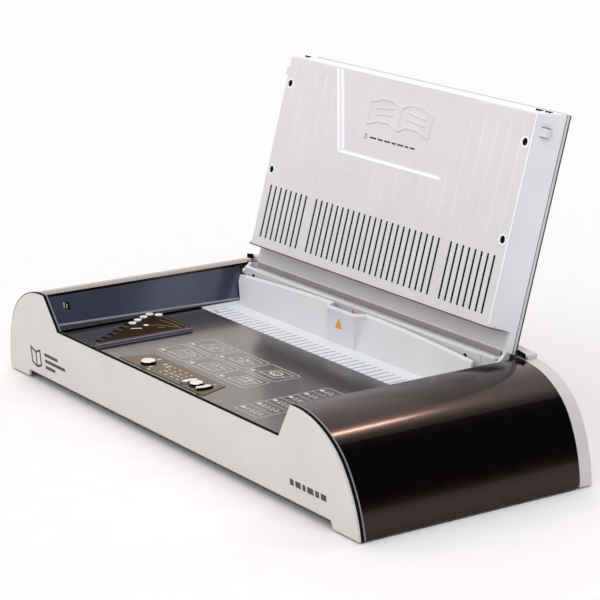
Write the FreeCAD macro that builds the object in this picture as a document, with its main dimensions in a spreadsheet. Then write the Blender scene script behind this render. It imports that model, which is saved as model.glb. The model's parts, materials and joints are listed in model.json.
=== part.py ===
"""Desktop thermal binding machine with its lid open.

Machine datum: X to the right, Y from the front panel's bottom edge to the rear,
Z up from the bottom edge of the covers. Every sub-part is designed in it, and
placed so that the origin is on the table, at the middle of the footprint.
The lid's pieces are designed flat in the lid's own frame, whose X axis is the
hinge axis, Y runs up the lid and Z points out of its inner face.
"""
import FreeCAD, Part
import Sketcher
import math
import os
import re
from types import SimpleNamespace

SIZES = {
    # whole machine
    "foot_drop": 1.5, "datum_rear": 125.2, "wall": 2.5,
    "crest_height": 84.1, "crest_half": 188.3, "crown_start": 193.7,
    "crown_radius_top": 68.5, "crown_angle_top": 42.3,
    "crown_radius_mid": 56.5, "crown_angle_mid": 61.5,
    "crown_radius_low": 116.3, "crown_angle_low": 88.0,
    "notch_half": 169.5, "notch_height": 55.5, "front_lean": 5.29,
    "skirt_half": 233.0, "skirt_rise": 6.5,
    "cover_rear": 208.0, "rear_face": 220.5,
    # deck
    "deck_top": 55.0, "deck_thick": 2.2, "deck_half": 167.8,
    "deck_front": -2.0, "deck_rear": 140.0,
    "label_thick": 0.5, "label_front": 2.0, "label_rear": 30.0,
    "label_left_front": -75.3, "label_left_rear": -66.0,
    "label_right_front": 54.0, "label_right_rear": 43.3, "keys_y": 11.4,
    "power_x": -44.5, "power_diameter": 12.4, "start_x": 29.5, "start_diameter": 11.0,
    "key_rise": 3.8, "wing_rise": 2.6, "key_gap": 0.4,
    "wing_inner": 8.4, "wing_outer": 14.4, "wing_angle": 68.0,
    # spine gauge
    "gauge_right": -109.0, "gauge_front": -1.8, "gauge_rear": 94.0, "gauge_left": -170.4,
    "gauge_rise": 2.5, "gauge_steps": 10.0,
    # slot
    "slot_x": -7.0, "guide_half": 166.0, "guide_base_y": 179.5, "guide_wall": 2.4,
    "ledge_top": 52.4, "ledge_thick": 1.8, "ledge_front": 131.0, "guide_slope": 15.6,
    "guide_end_top": 77.0, "guide_mid_top": 82.8, "guide_foot": 32.5, "guide_travel": 9.0,
    "ledge_slot": 2.3, "ledge_slot_depth": 1.3,
    "pocket_x": -10.0, "pocket_half": 20.0, "pocket_splay": 6.0, "pocket_front": 178.4,
    "rear_wall_front": 192.6, "rear_wall_thick": 2.6, "rear_wall_top": 84.0,
    "rear_wall_half": 177.6, "rear_wall_foot_half": 166.8,
    "heater_top": 31.5, "heater_thick": 3.0, "heater_half": 160.0,
    "heater_front": 168.0, "heater_rear": 192.0,
    # lid
    "hinge_y": 195.1, "hinge_z": 78.4, "lid_lean": 15.1, "skin_depth": 11.1,
    "lid_half": 185.5, "lid_inner_half": 168.5, "lid_thick": 20.3,
    "lid_top": 201.2, "lid_inner_top": 197.1, "tray_foot": 27.4,
    "skin_thick": 1.3, "rim_depth": 4.0, "reveal": 0.9, "lid_wall": 2.2,
    "tail_half": 174.0, "tail_end": -10.9, "shoulder": 10.3,
    "slot_pitch": 7.86, "slot_width": 2.5, "slot_foot": 35.4, "slot_head": 82.6,
    "inlet_x": 228.0, "tail_relief": 3.4, "edge_round": 0.9, "corner_round": 6.0,
    "panel_foot": 127.1, "panel_foot_half": 72.5, "panel_head_half": 99.0,
    "panel_depth": 1.5, "panel_bevel": 8.5, "panel_foot_bevel": 3.6,
    "peg_tip": 180.5, "peg_tip_left": 177.2,
    "recess_depth": 4.5, "recess_edge": 8.0, "recess_flat": 173.0, "recess_half": 180.0,
    "hinge_pin": 3.0, "hinge_lug": 6.0, "lug_inner": 178.2, "lug_outer": 181.8, "pin_end": 198.0,
    "bush_wall": 0.7,
}

doc = FreeCAD.newDocument("thermal_binder")
sheet = doc.addObject("Spreadsheet::Sheet", "Dims")
for row, (alias, number) in enumerate(SIZES.items(), start=1):
    sheet.set(f"A{row}", str(number))
    sheet.setAlias(f"A{row}", alias)
doc.recompute()
dims = SimpleNamespace(**{alias: float(sheet.get(alias)) for alias in SIZES})

X_AXIS = FreeCAD.Vector(1, 0, 0)
Y_AXIS = FreeCAD.Vector(0, 1, 0)
Z_AXIS = FreeCAD.Vector(0, 0, 1)
DATUM = FreeCAD.Vector(0, -dims.datum_rear, dims.foot_drop)
sub_parts = []


# ---------------------------------------------------------------- helpers

def bind(item, prop, formula):
    """Bind a property to the sheet; the formula names the sheet's aliases."""
    text = re.sub(r"[a-z_]{3,}", lambda m: "Dims." + m[0] if m[0] in SIZES else m[0], str(formula))
    item.setExpression(prop, text)


def keep(item, label):
    """Register a finished sub-part under the name of its node."""
    item.Label = label
    sub_parts.append(item)
    return item


def place(item, x, y, z, turn=None, local=False):
    """Place an item at a point of the machine datum, or of its own frame, bound to the sheet."""
    if turn:
        item.Placement = FreeCAD.Placement(FreeCAD.Vector(), turn)
    bind(item, "Placement.Base.x", f"({x}) * 1")
    bind(item, "Placement.Base.y", f"({y}) * 1" if local else f"({y}) - datum_rear")
    bind(item, "Placement.Base.z", f"({z}) * 1" if local else f"({z}) + foot_drop")
    return item


def block(name, low, size, local=False):
    """A box from its low corner and its sizes, all as formulas."""
    item = doc.addObject("Part::Box", name)
    for prop, formula in zip(("Length", "Width", "Height"), size):
        bind(item, prop, formula)
    return place(item, *low, local=local)


TURNS = {
    "x": FreeCAD.Rotation(Y_AXIS, 90),
    "y": FreeCAD.Rotation(X_AXIS, -90),
    "z": FreeCAD.Rotation(),
}


def rod(name, start, radius, length, axis="z", local=False):
    """A cylinder from the centre of its first end face, along one axis."""
    item = doc.addObject("Part::Cylinder", name)
    bind(item, "Radius", radius)
    bind(item, "Height", length)
    return place(item, *start, turn=TURNS[axis], local=local)


def cut(name, base, *tools):
    """Base less all the tools."""
    tool = tools[0] if len(tools) == 1 else join(name + "_tools", *tools)
    item = doc.addObject("Part::Cut", name)
    item.Base, item.Tool = base, tool
    item.Refine = True
    return item


def join(name, *items):
    """The union of the items."""
    item = doc.addObject("Part::MultiFuse", name)
    item.Shapes = list(items)
    item.Refine = True
    return item


def group(name, items):
    """Separate solids that share a node."""
    item = doc.addObject("Part::Compound", name)
    item.Links = list(items)
    return item


def rounded_rod(name, base, radius):
    """A cylinder whose far rim is rounded."""
    item = doc.addObject("Part::Fillet", name)
    item.Base = base
    item.Edges = [(3, radius, radius)]
    return item


def new_body(name, in_lid=False):
    """An empty body in the machine's frame or in the lid's."""
    body = doc.addObject("PartDesign::Body", name)
    if in_lid:
        body.Placement = LID_PLACE
        return body
    return place(body, 0, 0, 0)


def new_sketch(body, name, plane, shift=0):
    """A sketch on one of the body's own origin planes, shifted along the plane's normal."""
    sketch = body.newObject("Sketcher::SketchObject", name)
    for feature in body.Origin.OriginFeatures:
        if feature.Role == plane:
            sketch.AttachmentSupport = [(feature, "")]
    sketch.MapMode = "FlatFace"
    bind(sketch, "AttachmentOffset.Base.z", f"({shift}) * 1")
    return sketch


def fix_point(sketch, geometry, end, x, y):
    """Hold a point of the sketch at two formulas of the sheet."""
    for kind, formula in (("DistanceX", x), ("DistanceY", y)):
        number = sketch.addConstraint(Sketcher.Constraint(kind, -1, 1, geometry, end, 0.0))
        bind(sketch, f"Constraints[{number}]", f"({formula}) * 1")


def evaluate(formula):
    """A formula's value, from the sheet's sizes."""
    item = doc.addObject("App::FeaturePython", "Probe")
    item.addProperty("App::PropertyFloat", "Result")
    bind(item, "Result", f"({formula}) * 1")
    item.recompute()
    result = item.Result
    doc.removeObject(item.Name)
    return result


def draw_polygon(sketch, points):
    """A closed outline whose corners are formulas."""
    corners = [FreeCAD.Vector(evaluate(x), evaluate(y), 0) for x, y in points]
    count = len(corners)
    for n in range(count):
        sketch.addGeometry(Part.LineSegment(corners[n], corners[(n + 1) % count]))
    for n in range(count):
        sketch.addConstraint(Sketcher.Constraint("Coincident", n, 2, (n + 1) % count, 1))
    for n, (x, y) in enumerate(points):
        fix_point(sketch, n, 1, x, y)


def pad(body, name, sketch, length, reverse=False):
    """Extrude a sketch into the body's next solid."""
    item = body.newObject("PartDesign::Pad", name)
    item.Profile = sketch
    item.Reversed = reverse
    bind(item, "Length", f"({length}) * 1")
    body.Tip = item
    return item


def pocket_out(body, name, sketch, length, reverse=False):
    """Cut a sketch's extrusion from the body."""
    item = body.newObject("PartDesign::Pocket", name)
    item.Profile = sketch
    item.Reversed = reverse
    bind(item, "Length", f"({length}) * 1")
    body.Tip = item
    return item


def coded(name, shape, in_lid=False):
    """A sub-part whose shape is made in code from the sheet's sizes."""
    item = doc.addObject("Part::Feature", name)
    item.Shape = shape
    item.Placement = LID_PLACE if in_lid else FreeCAD.Placement(DATUM, FreeCAD.Rotation())
    return item


def solid_prism(points, plane, start, length):
    """A prism from a polygon: plane xz is drawn in x and z and runs along y, and so on."""
    axes = {"xy": (0, 1, 2), "xz": (0, 2, 1), "yz": (1, 2, 0)}[plane]
    corners = []
    for first, second in points:
        corner = [0.0, 0.0, 0.0]
        corner[axes[0]], corner[axes[1]], corner[axes[2]] = first, second, start
        corners.append(FreeCAD.Vector(*corner))
    along = [0.0, 0.0, 0.0]
    along[axes[2]] = length
    return Part.Face(Part.makePolygon(corners + corners[:1])).extrude(FreeCAD.Vector(*along))


def solid_box(x, y, z):
    """A box from pairs of limits."""
    return Part.makeBox(x[1] - x[0], y[1] - y[0], z[1] - z[0], FreeCAD.Vector(x[0], y[0], z[0]))


def poly_solid(points, faces):
    """A closed solid from its corners and the corner numbers of its faces."""
    made = []
    for face in faces:
        loop = [FreeCAD.Vector(*points[i]) for i in face]
        made.append(Part.Face(Part.makePolygon(loop + loop[:1])))
    solid = Part.Solid(Part.Shell(made))
    if solid.Volume < 0:
        solid.reverse()
    return solid


def frustum(low_ring, high_ring):
    """A solid between two similar four-cornered rings."""
    sides = [(n, (n + 1) % 4, (n + 1) % 4 + 4, n + 4) for n in range(4)]
    return poly_solid(low_ring + high_ring, [(3, 2, 1, 0), (4, 5, 6, 7)] + sides)


LID_PLACE = FreeCAD.Placement(
    DATUM + FreeCAD.Vector(0, dims.hinge_y, dims.hinge_z),
    FreeCAD.Rotation(X_AXIS, 90 - dims.lid_lean))


# ---------------------------------------------------------------- the crowned ends

def crown_arcs(side, inset):
    """The arcs of the end profile, from the crest down to the table, as edges in XZ."""
    d = dims
    stages = (
        (d.crown_radius_top, 0.0, d.crown_angle_top),
        (d.crown_radius_mid, d.crown_angle_top, d.crown_angle_mid),
        (d.crown_radius_low, d.crown_angle_mid, d.crown_angle_low))
    centre = FreeCAD.Vector(d.crown_start, 0, d.crest_height - d.crown_radius_top)
    edges = []
    last_radius = d.crown_radius_top
    for radius, start, end in stages:
        lean = math.radians(start)
        toward = FreeCAD.Vector(math.sin(lean), 0, math.cos(lean))
        centre = centre + toward * (last_radius - radius)
        last_radius = radius

        def on_arc(angle):
            a = math.radians(angle)
            reach = radius - inset
            point = centre + FreeCAD.Vector(math.sin(a), 0, math.cos(a)) * reach
            return FreeCAD.Vector(side * point.x, 0, point.z)

        edges.append(Part.Arc(on_arc(start), on_arc((start + end) / 2), on_arc(end)).toShape())
    return edges


def last_point(edge):
    return edge.Vertexes[-1].Point


def line(start, end):
    return Part.LineSegment(FreeCAD.Vector(*start), FreeCAD.Vector(*end)).toShape()


def full_outline(inset, floor):
    """The front elevation of the machine, with its notch and its raised middle."""
    d = dims
    left, right = crown_arcs(-1, inset), crown_arcs(1, inset)
    edges = left + right
    top, notch, step = d.crest_height - inset, d.notch_height - inset, inset * 0.6
    stops = [(-d.crown_start, top), (-d.crest_half - step, top), (-d.notch_half - step, notch)]
    stops += [(-x, z) for x, z in reversed(stops)]
    for (x0, z0), (x1, z1) in zip(stops, stops[1:]):
        edges.append(line((x0, 0, z0), (x1, 0, z1)))
    low_left, low_right = last_point(left[-1]), last_point(right[-1])
    feet = [(low_left.x, low_left.z)]
    if floor > low_left.z:
        feet += [(-d.skirt_half, low_left.z), (-d.skirt_half + 2, floor)]
        feet += [(d.skirt_half - 2, floor), (d.skirt_half, low_left.z)]
    feet.append((low_right.x, low_right.z))
    for (x0, z0), (x1, z1) in zip(feet, feet[1:]):
        edges.append(line((x0, 0, z0), (x1, 0, z1)))
    return Part.Face(Part.Wire(Part.__sortEdges__(edges)))


def cover_strip(side):
    """The strip of an end cover's section: crowned skin, flat crest and sloping inner wall."""
    d = dims
    outer, inner = crown_arcs(side, 0.0), crown_arcs(side, d.wall)
    rise = FreeCAD.Vector(d.crest_half - d.notch_half, 0, d.crest_height - d.notch_height)
    rise.normalize()
    across = FreeCAD.Vector(rise.z, 0, -rise.x)
    foot = FreeCAD.Vector(d.notch_half, 0, d.notch_height) + rise * 2.6
    foot_in = foot + across * d.wall
    bend = FreeCAD.Vector(d.crest_half, 0, d.crest_height) + across * d.wall
    bend = bend + rise * ((d.crest_height - d.wall - bend.z) / rise.z)
    stops = [last_point(inner[-1]), last_point(outer[-1])]
    edges = outer + inner + [line(stops[0], stops[1])]
    path = [
        (d.crown_start, d.crest_height), (d.crest_half, d.crest_height), (foot.x, foot.z),
        (foot_in.x, foot_in.z), (bend.x, bend.z), (d.crown_start, d.crest_height - d.wall)]
    for (x0, z0), (x1, z1) in zip(path, path[1:]):
        edges.append(line((side * x0, 0, z0), (side * x1, 0, z1)))
    return Part.Face(Part.Wire(Part.__sortEdges__(edges)))


def behind_front_panel(depth):
    """A big solid that holds everything behind the leaning rear face of the front panel."""
    solid = solid_box((-300, 300), (depth, 400), (-60, 200))
    solid.rotate(FreeCAD.Vector(), X_AXIS, dims.front_lean)
    return solid


def rounded_side():
    """A big solid with the end covers' side elevation, rounded at its lower corners."""
    d = dims
    front, rear, r = d.wall, d.cover_rear, d.corner_round
    block_shape = solid_box((-300, 300), (front - 30, rear), (-0.2, 200))
    low = [e for e in block_shape.Edges if e.BoundBox.ZMax < 0 and e.BoundBox.XLength > 500]
    rear_edge = [e for e in low if e.BoundBox.YMin > rear - 1]
    side = block_shape.makeFillet(r, rear_edge)
    corner = solid_box((-300, 300), (front - 40, front + r), (-1, r - 0.2))
    bar = Part.makeCylinder(r, 600, FreeCAD.Vector(-300, front + r, r - 0.2), X_AXIS)
    return side.cut(corner.cut(bar))


def make_front_panel():
    d = dims
    panel = full_outline(0.0, d.skirt_rise).extrude(Y_AXIS * d.wall)
    rim = [e for e in panel.Edges if e.BoundBox.YMax < 0.01]
    panel = panel.makeFillet(d.edge_round, rim)
    panel.rotate(FreeCAD.Vector(), X_AXIS, d.front_lean)
    rib = solid_box((-162, 162), (d.wall, d.wall + 1.6), (40, 43))
    rib.rotate(FreeCAD.Vector(), X_AXIS, d.front_lean)
    keep(coded("FrontPanel", panel.fuse(rib).removeSplitter()), "front_panel")


def make_end_covers():
    d = dims
    for side, label in ((-1, "left_end_cover"), (1, "right_end_cover")):
        skin = cover_strip(side).extrude(Y_AXIS * (d.cover_rear + 20))
        skin.translate(Y_AXIS * -20)
        skin = skin.common(behind_front_panel(d.wall)).common(rounded_side())
        pin_hole = Part.makeCylinder(
            d.hinge_pin / 2 + 0.6, 32, FreeCAD.Vector(side * 160, d.hinge_y, d.hinge_z), X_AXIS * side)
        skin = skin.cut(pin_hole)
        if side < 0:
            skin = skin.cut(solid_box((-190, -172), (8.5, 14.5), (70.5, 76.5)))
        keep(coded(label.title().replace("_", ""), skin), label)


def ridge_outline(top_mid, top_end, half, foot):
    """The crowned outline of the ridge that the open lid leans on."""
    arc = Part.Arc(
        FreeCAD.Vector(-half, 0, top_end), FreeCAD.Vector(0, 0, top_mid),
        FreeCAD.Vector(half, 0, top_end)).toShape()
    sides = [
        line((-half, 0, top_end), (-half, 0, foot)), line((-half, 0, foot), (half, 0, foot)),
        line((half, 0, foot), (half, 0, top_end))]
    return Part.Face(Part.Wire(Part.__sortEdges__([arc] + sides)))


def make_rear_cover():
    d = dims
    outer = full_outline(0.0, 0.0)
    depth = d.rear_face - d.cover_rear
    shell = outer.extrude(Y_AXIS * depth)
    fill = solid_box((-d.crest_half - 2, d.crest_half + 2), (0, depth), (30, d.crest_height))
    shell = shell.fuse(fill).removeSplitter()
    rim = [e for e in shell.Edges if e.BoundBox.YMin > depth - 0.01 and e.BoundBox.ZMax > 1]
    shell = shell.makeFillet(d.edge_round * 1.6, rim)
    hollow = full_outline(d.wall, -10).extrude(Y_AXIS * (depth - d.wall))
    hollow = hollow.fuse(solid_box(
        (-d.crest_half - 6, d.crest_half + 6), (0, depth - d.wall), (-20, d.crest_height - d.wall)))
    hollow = hollow.fuse(solid_box((-262, 262), (0, depth - d.wall), (-20, 8)))
    shell = shell.cut(hollow)
    shell.translate(Y_AXIS * d.cover_rear)
    half = 196.5
    relief_top = d.crest_height + 2.0
    cavity = solid_box(
        (-half, half), (d.cover_rear - 1, d.cover_rear + d.tail_relief), (60, relief_top))
    shell = shell.cut(cavity)
    ridge = ridge_outline(96.0, 87.6, half, d.crest_height - d.wall).extrude(Y_AXIS * 20)
    ridge.translate(Y_AXIS * d.cover_rear)
    ridge = ridge.cut(cavity)
    front = solid_box((-300, 300), (0, 60), (-60, 60))
    front.rotate(FreeCAD.Vector(), X_AXIS, -d.lid_lean)
    front.translate(FreeCAD.Vector(0, d.cover_rear + 0.6, d.crest_height))
    ridge = ridge.common(front).common(solid_box((-300, 300), (0, d.rear_face), (0, 200)))
    shell = shell.fuse(ridge).removeSplitter()
    inlet = solid_box(
        (d.inlet_x - 14, d.inlet_x + 14), (d.rear_face - 6, d.rear_face + 6), (18, 38))
    shell = shell.cut(inlet)
    for row in range(9):
        slot = solid_box((-60, 60), (d.rear_face - 6, d.rear_face + 6), (14 + row * 5, 16 + row * 5))
        shell = shell.cut(slot)
    keep(coded("RearCover", shell), "rear_cover")


# ---------------------------------------------------------------- base

def make_base_pan():
    """Floor tray with a rim, two fields of vents and four screw posts."""
    floor = block("PanFloor", (-258, 4, 3), (516, "cover_rear - 5", 3))
    outer = block("PanRimOuter", (-258, 4, 5), (516, "cover_rear - 5", 9))
    inner = block("PanRimInner", (-256, 6, 4), (512, "cover_rear - 9", 12))
    posts = []
    for x in (-230, 230):
        for y in (24, 186):
            posts.append(rod(f"PanPost{len(posts)}", (x, y, 5), 5, 15))
    tray = join("PanWhole", floor, cut("PanRim", outer, inner), *posts)
    vents = []
    for side in (-1, 1):
        for n in range(12):
            x = side * 90 + (n - 5.5) * 8
            vents.append(block(f"PanVent{len(vents)}", (x - 1.5, 120, 2), (3, 40, 5)))
    keep(cut("BasePan", tray, *vents), "base_pan")


def make_feet():
    feet = []
    for x in (-236, 236):
        for y in (22, 190):
            name = f"Foot{len(feet)}"
            feet.append(rod(name, (x, y, "-foot_drop"), 9, "3 + foot_drop"))
    keep(group("RubberFeet", feet), "rubber_feet")


def make_case_screws():
    screws = []
    for x in (-200, 200):
        for y in (40, 170):
            screws.append(rod(f"CaseScrew{len(screws)}", (x, y, 1.2), 3.4, 1.8))
    keep(group("CaseScrews", screws), "case_screws")


# ---------------------------------------------------------------- deck

def ring_slice(inner, outer, middle, spread, low, high):
    """A slice of a ring about the start key, low to high, centred on an angle in degrees."""
    centre = FreeCAD.Vector(dims.start_x, dims.keys_y, low)
    ring = Part.makeCylinder(outer, high - low, centre).cut(
        Part.makeCylinder(inner, high - low, centre))
    half = math.radians(spread / 2)
    reach = outer * 2
    corners = [(centre.x, centre.y)]
    for step in (-1, -0.33, 0.33, 1):
        angle = math.radians(middle) + half * step
        corners.append((centre.x + reach * math.cos(angle), centre.y + reach * math.sin(angle)))
    return ring.common(solid_prism(corners, "xy", low, high - low))


def key_openings(owner):
    """The tools for the openings that the four keys stand in."""
    d = dims
    low, high = d.deck_top - 14, d.deck_top + 2
    tools = []
    for key, x, diameter in (("Power", "power_x", "power_diameter"), ("Start", "start_x", "start_diameter")):
        tools.append(rod(
            f"{owner}{key}Hole", (x, "keys_y", low), f"{diameter} / 2 + key_gap", high - low))
    for side, middle in (("Right", 0), ("Left", 180)):
        slot = ring_slice(
            d.wing_inner - d.key_gap, d.wing_outer + d.key_gap, middle, d.wing_angle + 8, low, high)
        tools.append(coded(f"{owner}{side}WingHole", slot))
    return tools





def make_deck():
    """The flat deck with its flanges and ribs, and the film around the keys."""
    body = new_body("DeckPlate")
    face = new_sketch(body, "DeckOutline", "XY_Plane", "deck_top - deck_thick")
    draw_polygon(face, [
        ("-deck_half", "deck_front"), ("deck_half", "deck_front"),
        ("deck_half", "deck_rear"), ("-deck_half", "deck_rear")])
    pad(body, "DeckPad", face, "deck_thick")
    low = "deck_top - deck_thick - 9"
    stiffeners = [
        block("FlangeLeft", ("-deck_half", "deck_front + 1.2", low), (2, "118 - deck_front - 1.2", 9.5)),
        block("FlangeRight", ("deck_half - 2", "deck_front + 1.2", low), (2, "118 - deck_front - 1.2", 9.5)),
        block("FlangeFront", ("-deck_half", "deck_front + 1.2", low), ("2 * deck_half", 2, 9.5))]
    for x in (-90, 0, 90):
        stiffeners.append(block(
            f"DeckRib{x + 90}", (x - 0.8, 34, "deck_top - deck_thick - 5"), (1.6, 84, 5.5)))
    whole = join("DeckWhole", body, *stiffeners)
    keep(cut("DeckPanel", whole, *key_openings("Deck")), "deck_panel")

    film = new_body("LabelFilm")
    outline = new_sketch(film, "LabelOutline", "XY_Plane", "deck_top")
    draw_polygon(outline, [
        ("label_left_front", "label_front"), ("label_right_front", "label_front"),
        ("label_right_rear", "label_rear"), ("label_left_rear", "label_rear")])
    pad(film, "LabelPad", outline, "label_thick")
    keep(cut("ControlLabel", film, *key_openings("Label")), "control_label")


def make_keys():
    """Four keys, each with a stem down to its switch."""
    d = dims
    foot, stem_foot = "deck_top - deck_thick - 2", "deck_top - 12.5"
    for label, x, diameter in (
            ("power_key", "power_x", "power_diameter"), ("start_key", "start_x", "start_diameter")):
        name = label.title().replace("_", "")
        cap = rod(f"{name}Cap", (x, "keys_y", foot), f"{diameter} / 2", "key_rise + deck_thick + 2")
        stem = rod(f"{name}Stem", (x, "keys_y", stem_foot), 1.6, "11 - deck_thick")
        keep(join(name, rounded_rod(f"{name}Rounded", cap, 0.8), stem), label)
    low = d.deck_top - d.deck_thick - 2
    for label, middle, side in (("left_arrow_key", 180, -1), ("right_arrow_key", 0, 1)):
        name = label.title().replace("_", "")
        cap = ring_slice(d.wing_inner, d.wing_outer, middle, d.wing_angle, low, d.deck_top + d.wing_rise)
        x = f"start_x + {side} * (wing_inner + wing_outer) / 2"
        stem = rod(f"{name}Stem", (x, "keys_y", stem_foot), 1.4, "11 - deck_thick")
        keep(join(name, coded(f"{name}Cap", cap), stem), label)


def make_control_board():
    """The board under the deck with its four switches and indicator lamps."""
    d = dims
    top = d.deck_top - 12.5 - 4.0
    keep(block("ControlBoard", (-70, 1, "deck_top - 18.1"), (120, 27, 1.6)), "control_board")
    switches = []
    wing = (d.wing_inner + d.wing_outer) / 2
    for x in (d.power_x, d.start_x, d.start_x - wing, d.start_x + wing):
        n = len(switches)
        body = block(f"SwitchBody{n}", (x - 3, "keys_y - 3", "deck_top - 16.5"), (6, 6, 2.6))
        button = rod(f"SwitchTop{n}", (x, "keys_y", "deck_top - 13.9"), 1.2, 0.3)
        switches.append(join(f"Switch{n}", body, button))
    keep(group("TactSwitches", switches), "tact_switches")
    lamps = []
    for x, y in lamp_places():
        lamps.append(rod(f"Lamp{len(lamps)}", (x, y, top), 1.0, 6))
    keep(group("IndicatorLamps", lamps), "indicator_lamps")
    columns = []
    for x in (-66, 46):
        for y in (24.5,):
            n = len(columns)
            columns.append(rod(f"BoardPost{n}", (x, y, "deck_top - 16.5"), 2.2, 14.3))
    keep(group("BoardPosts", columns), "board_posts")


def lamp_places():
    """Two rows of indicator lamps between the power key and the start key."""
    return [(-28 + 8 * n, y) for y in (9.5, 20.0) for n in range(5)]


def make_gauge():
    """The stepped plate that measures the thickness of a document's spine."""
    steps = int(dims.gauge_steps)
    width = "(gauge_right - gauge_left - 4) / gauge_steps"
    depth = "(gauge_rear - gauge_front - 4) / gauge_steps"
    for name, label, inset, low, thick in (
            ("GaugePlinth", "gauge_plinth", 0, "deck_top", "gauge_rise - 0.4"),
            ("GaugePlate", "gauge_plate", 0.9, "deck_top + gauge_rise - 0.4", 0.6)):
        corners = [(f"gauge_right - {inset}", "gauge_front"), (f"gauge_right - {inset}", "gauge_rear")]
        corners.append(("gauge_left", "gauge_rear"))
        for n in range(steps):
            y = f"gauge_rear - 4 - {n} * {depth}"
            corners += [(f"gauge_left + {n} * {width}", y), (f"gauge_left + {n + 1} * {width}", y)]
        corners.append(("gauge_right - 4", "gauge_front"))
        body = new_body(name)
        outline = new_sketch(body, f"{name}Outline", "XY_Plane", low)
        draw_polygon(outline, corners)
        pad(body, f"{name}Pad", outline, thick)
        keep(body, label)


# ---------------------------------------------------------------- slot

def lean_y(z):
    """Front face of the guide's leaning wall at a height."""
    return dims.guide_base_y + (z - dims.ledge_top) * math.tan(math.radians(dims.guide_slope))


def make_front_guide():
    """The sliding guide in front of the slot: ribbed ledge, crowned leaning wall, finger pocket."""
    d = dims
    left, right = d.slot_x - d.guide_half + 4.5, d.slot_x + d.guide_half - 1
    high = 95.0
    section = [
        (lean_y(d.ledge_top), d.ledge_top), (lean_y(high), high), (lean_y(high) + d.guide_wall, high),
        (lean_y(d.ledge_top) + d.guide_wall, d.ledge_top), (d.guide_base_y + d.guide_wall, d.guide_foot),
        (d.guide_base_y, d.guide_foot)]
    wall = solid_prism(section, "yz", left - 8, right - left + 10)
    crown = ridge_outline(
        d.guide_mid_top, d.guide_end_top, d.guide_half + 4, 0).extrude(Y_AXIS * 300)
    crown.translate(X_AXIS * d.slot_x)
    outline = [(left, 20), (right, 20), (right, 100), (left - 8, 100), (left - 8, 71), (left, 57)]
    wall = wall.common(crown).common(solid_prism(outline, "xz", 100, 200))
    ledge = solid_box(
        (left, right), (d.ledge_front, d.guide_base_y + 1), (d.ledge_top - d.ledge_thick, d.ledge_top))
    count = 38
    pitch = (right - left - 12) / count
    for n in range(count + 1):
        x = left + 6 + n * pitch
        ledge = ledge.cut(solid_box(
            (x - d.ledge_slot / 2, x + d.ledge_slot / 2), (136, 164),
            (d.ledge_top - d.ledge_slot_depth, d.ledge_top + 1)))
    guide = wall.fuse(ledge)

    half, splay, x0 = d.pocket_half, d.pocket_splay, d.pocket_x
    low, top = d.ledge_top, d.guide_mid_top

    def pocket(shrink, lift):
        """The pocket's wedge, or the hollow in it."""
        front = d.pocket_front + shrink
        foot = max(front, lean_y(low + lift))
        through = 0.6 if shrink else -0.4
        rear, foot = lean_y(top) + d.guide_wall + through, foot + d.guide_wall + through
        base = low + lift
        wide, spread = half - shrink, splay - shrink * 0.2
        points = [
            (x0 - wide, front, base), (x0 + wide, front, base),
            (x0 - wide, front, top + lift / 50), (x0 + wide, front, top + lift / 50),
            (x0 - wide, foot, base), (x0 + wide, foot, base),
            (x0 - wide - spread, rear, top + lift / 50), (x0 + wide + spread, rear, top + lift / 50)]
        faces = [
            (0, 1, 3, 2), (2, 3, 7, 6), (6, 7, 5, 4), (4, 5, 1, 0)]
        sides = [(1, 5, 3), (5, 7, 3), (0, 2, 4), (4, 2, 6)]
        return poly_solid(points, faces + sides)

    guide = guide.fuse(pocket(0.0, 0.0))
    guide = guide.cut(pocket(1.8, 6.0))
    keep(coded("FrontGuide", guide.removeSplitter()), "front_guide")


def make_guide_slides():
    """Two runners under the ledge and the rails they slide on."""
    rails, runners, stands = [], [], []
    for x in (-130, 116):
        n = len(rails)
        rails.append(rod(f"Rail{n}", (x, 100, 42), 2.5, 62, "y"))
        runner = block(f"RunnerBlock{n}", (x - 6, 136, 36.5), (12, 22, "ledge_top - ledge_thick - 36.5"))
        bore = rod(f"RunnerBore{n}", (x, 130, 42), 2.55, 34, "y")
        runners.append(cut(f"Runner{n}", runner, bore))
        for y in (94, 162):
            stands.append(block(f"RailStand{len(stands)}", (x - 7, y, 6), (14, 6, 40)))
    keep(group("GuideRails", rails), "guide_rails")
    keep(group("GuideRunners", runners), "guide_runners")
    keep(group("RailStands", stands), "rail_stands")


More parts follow.
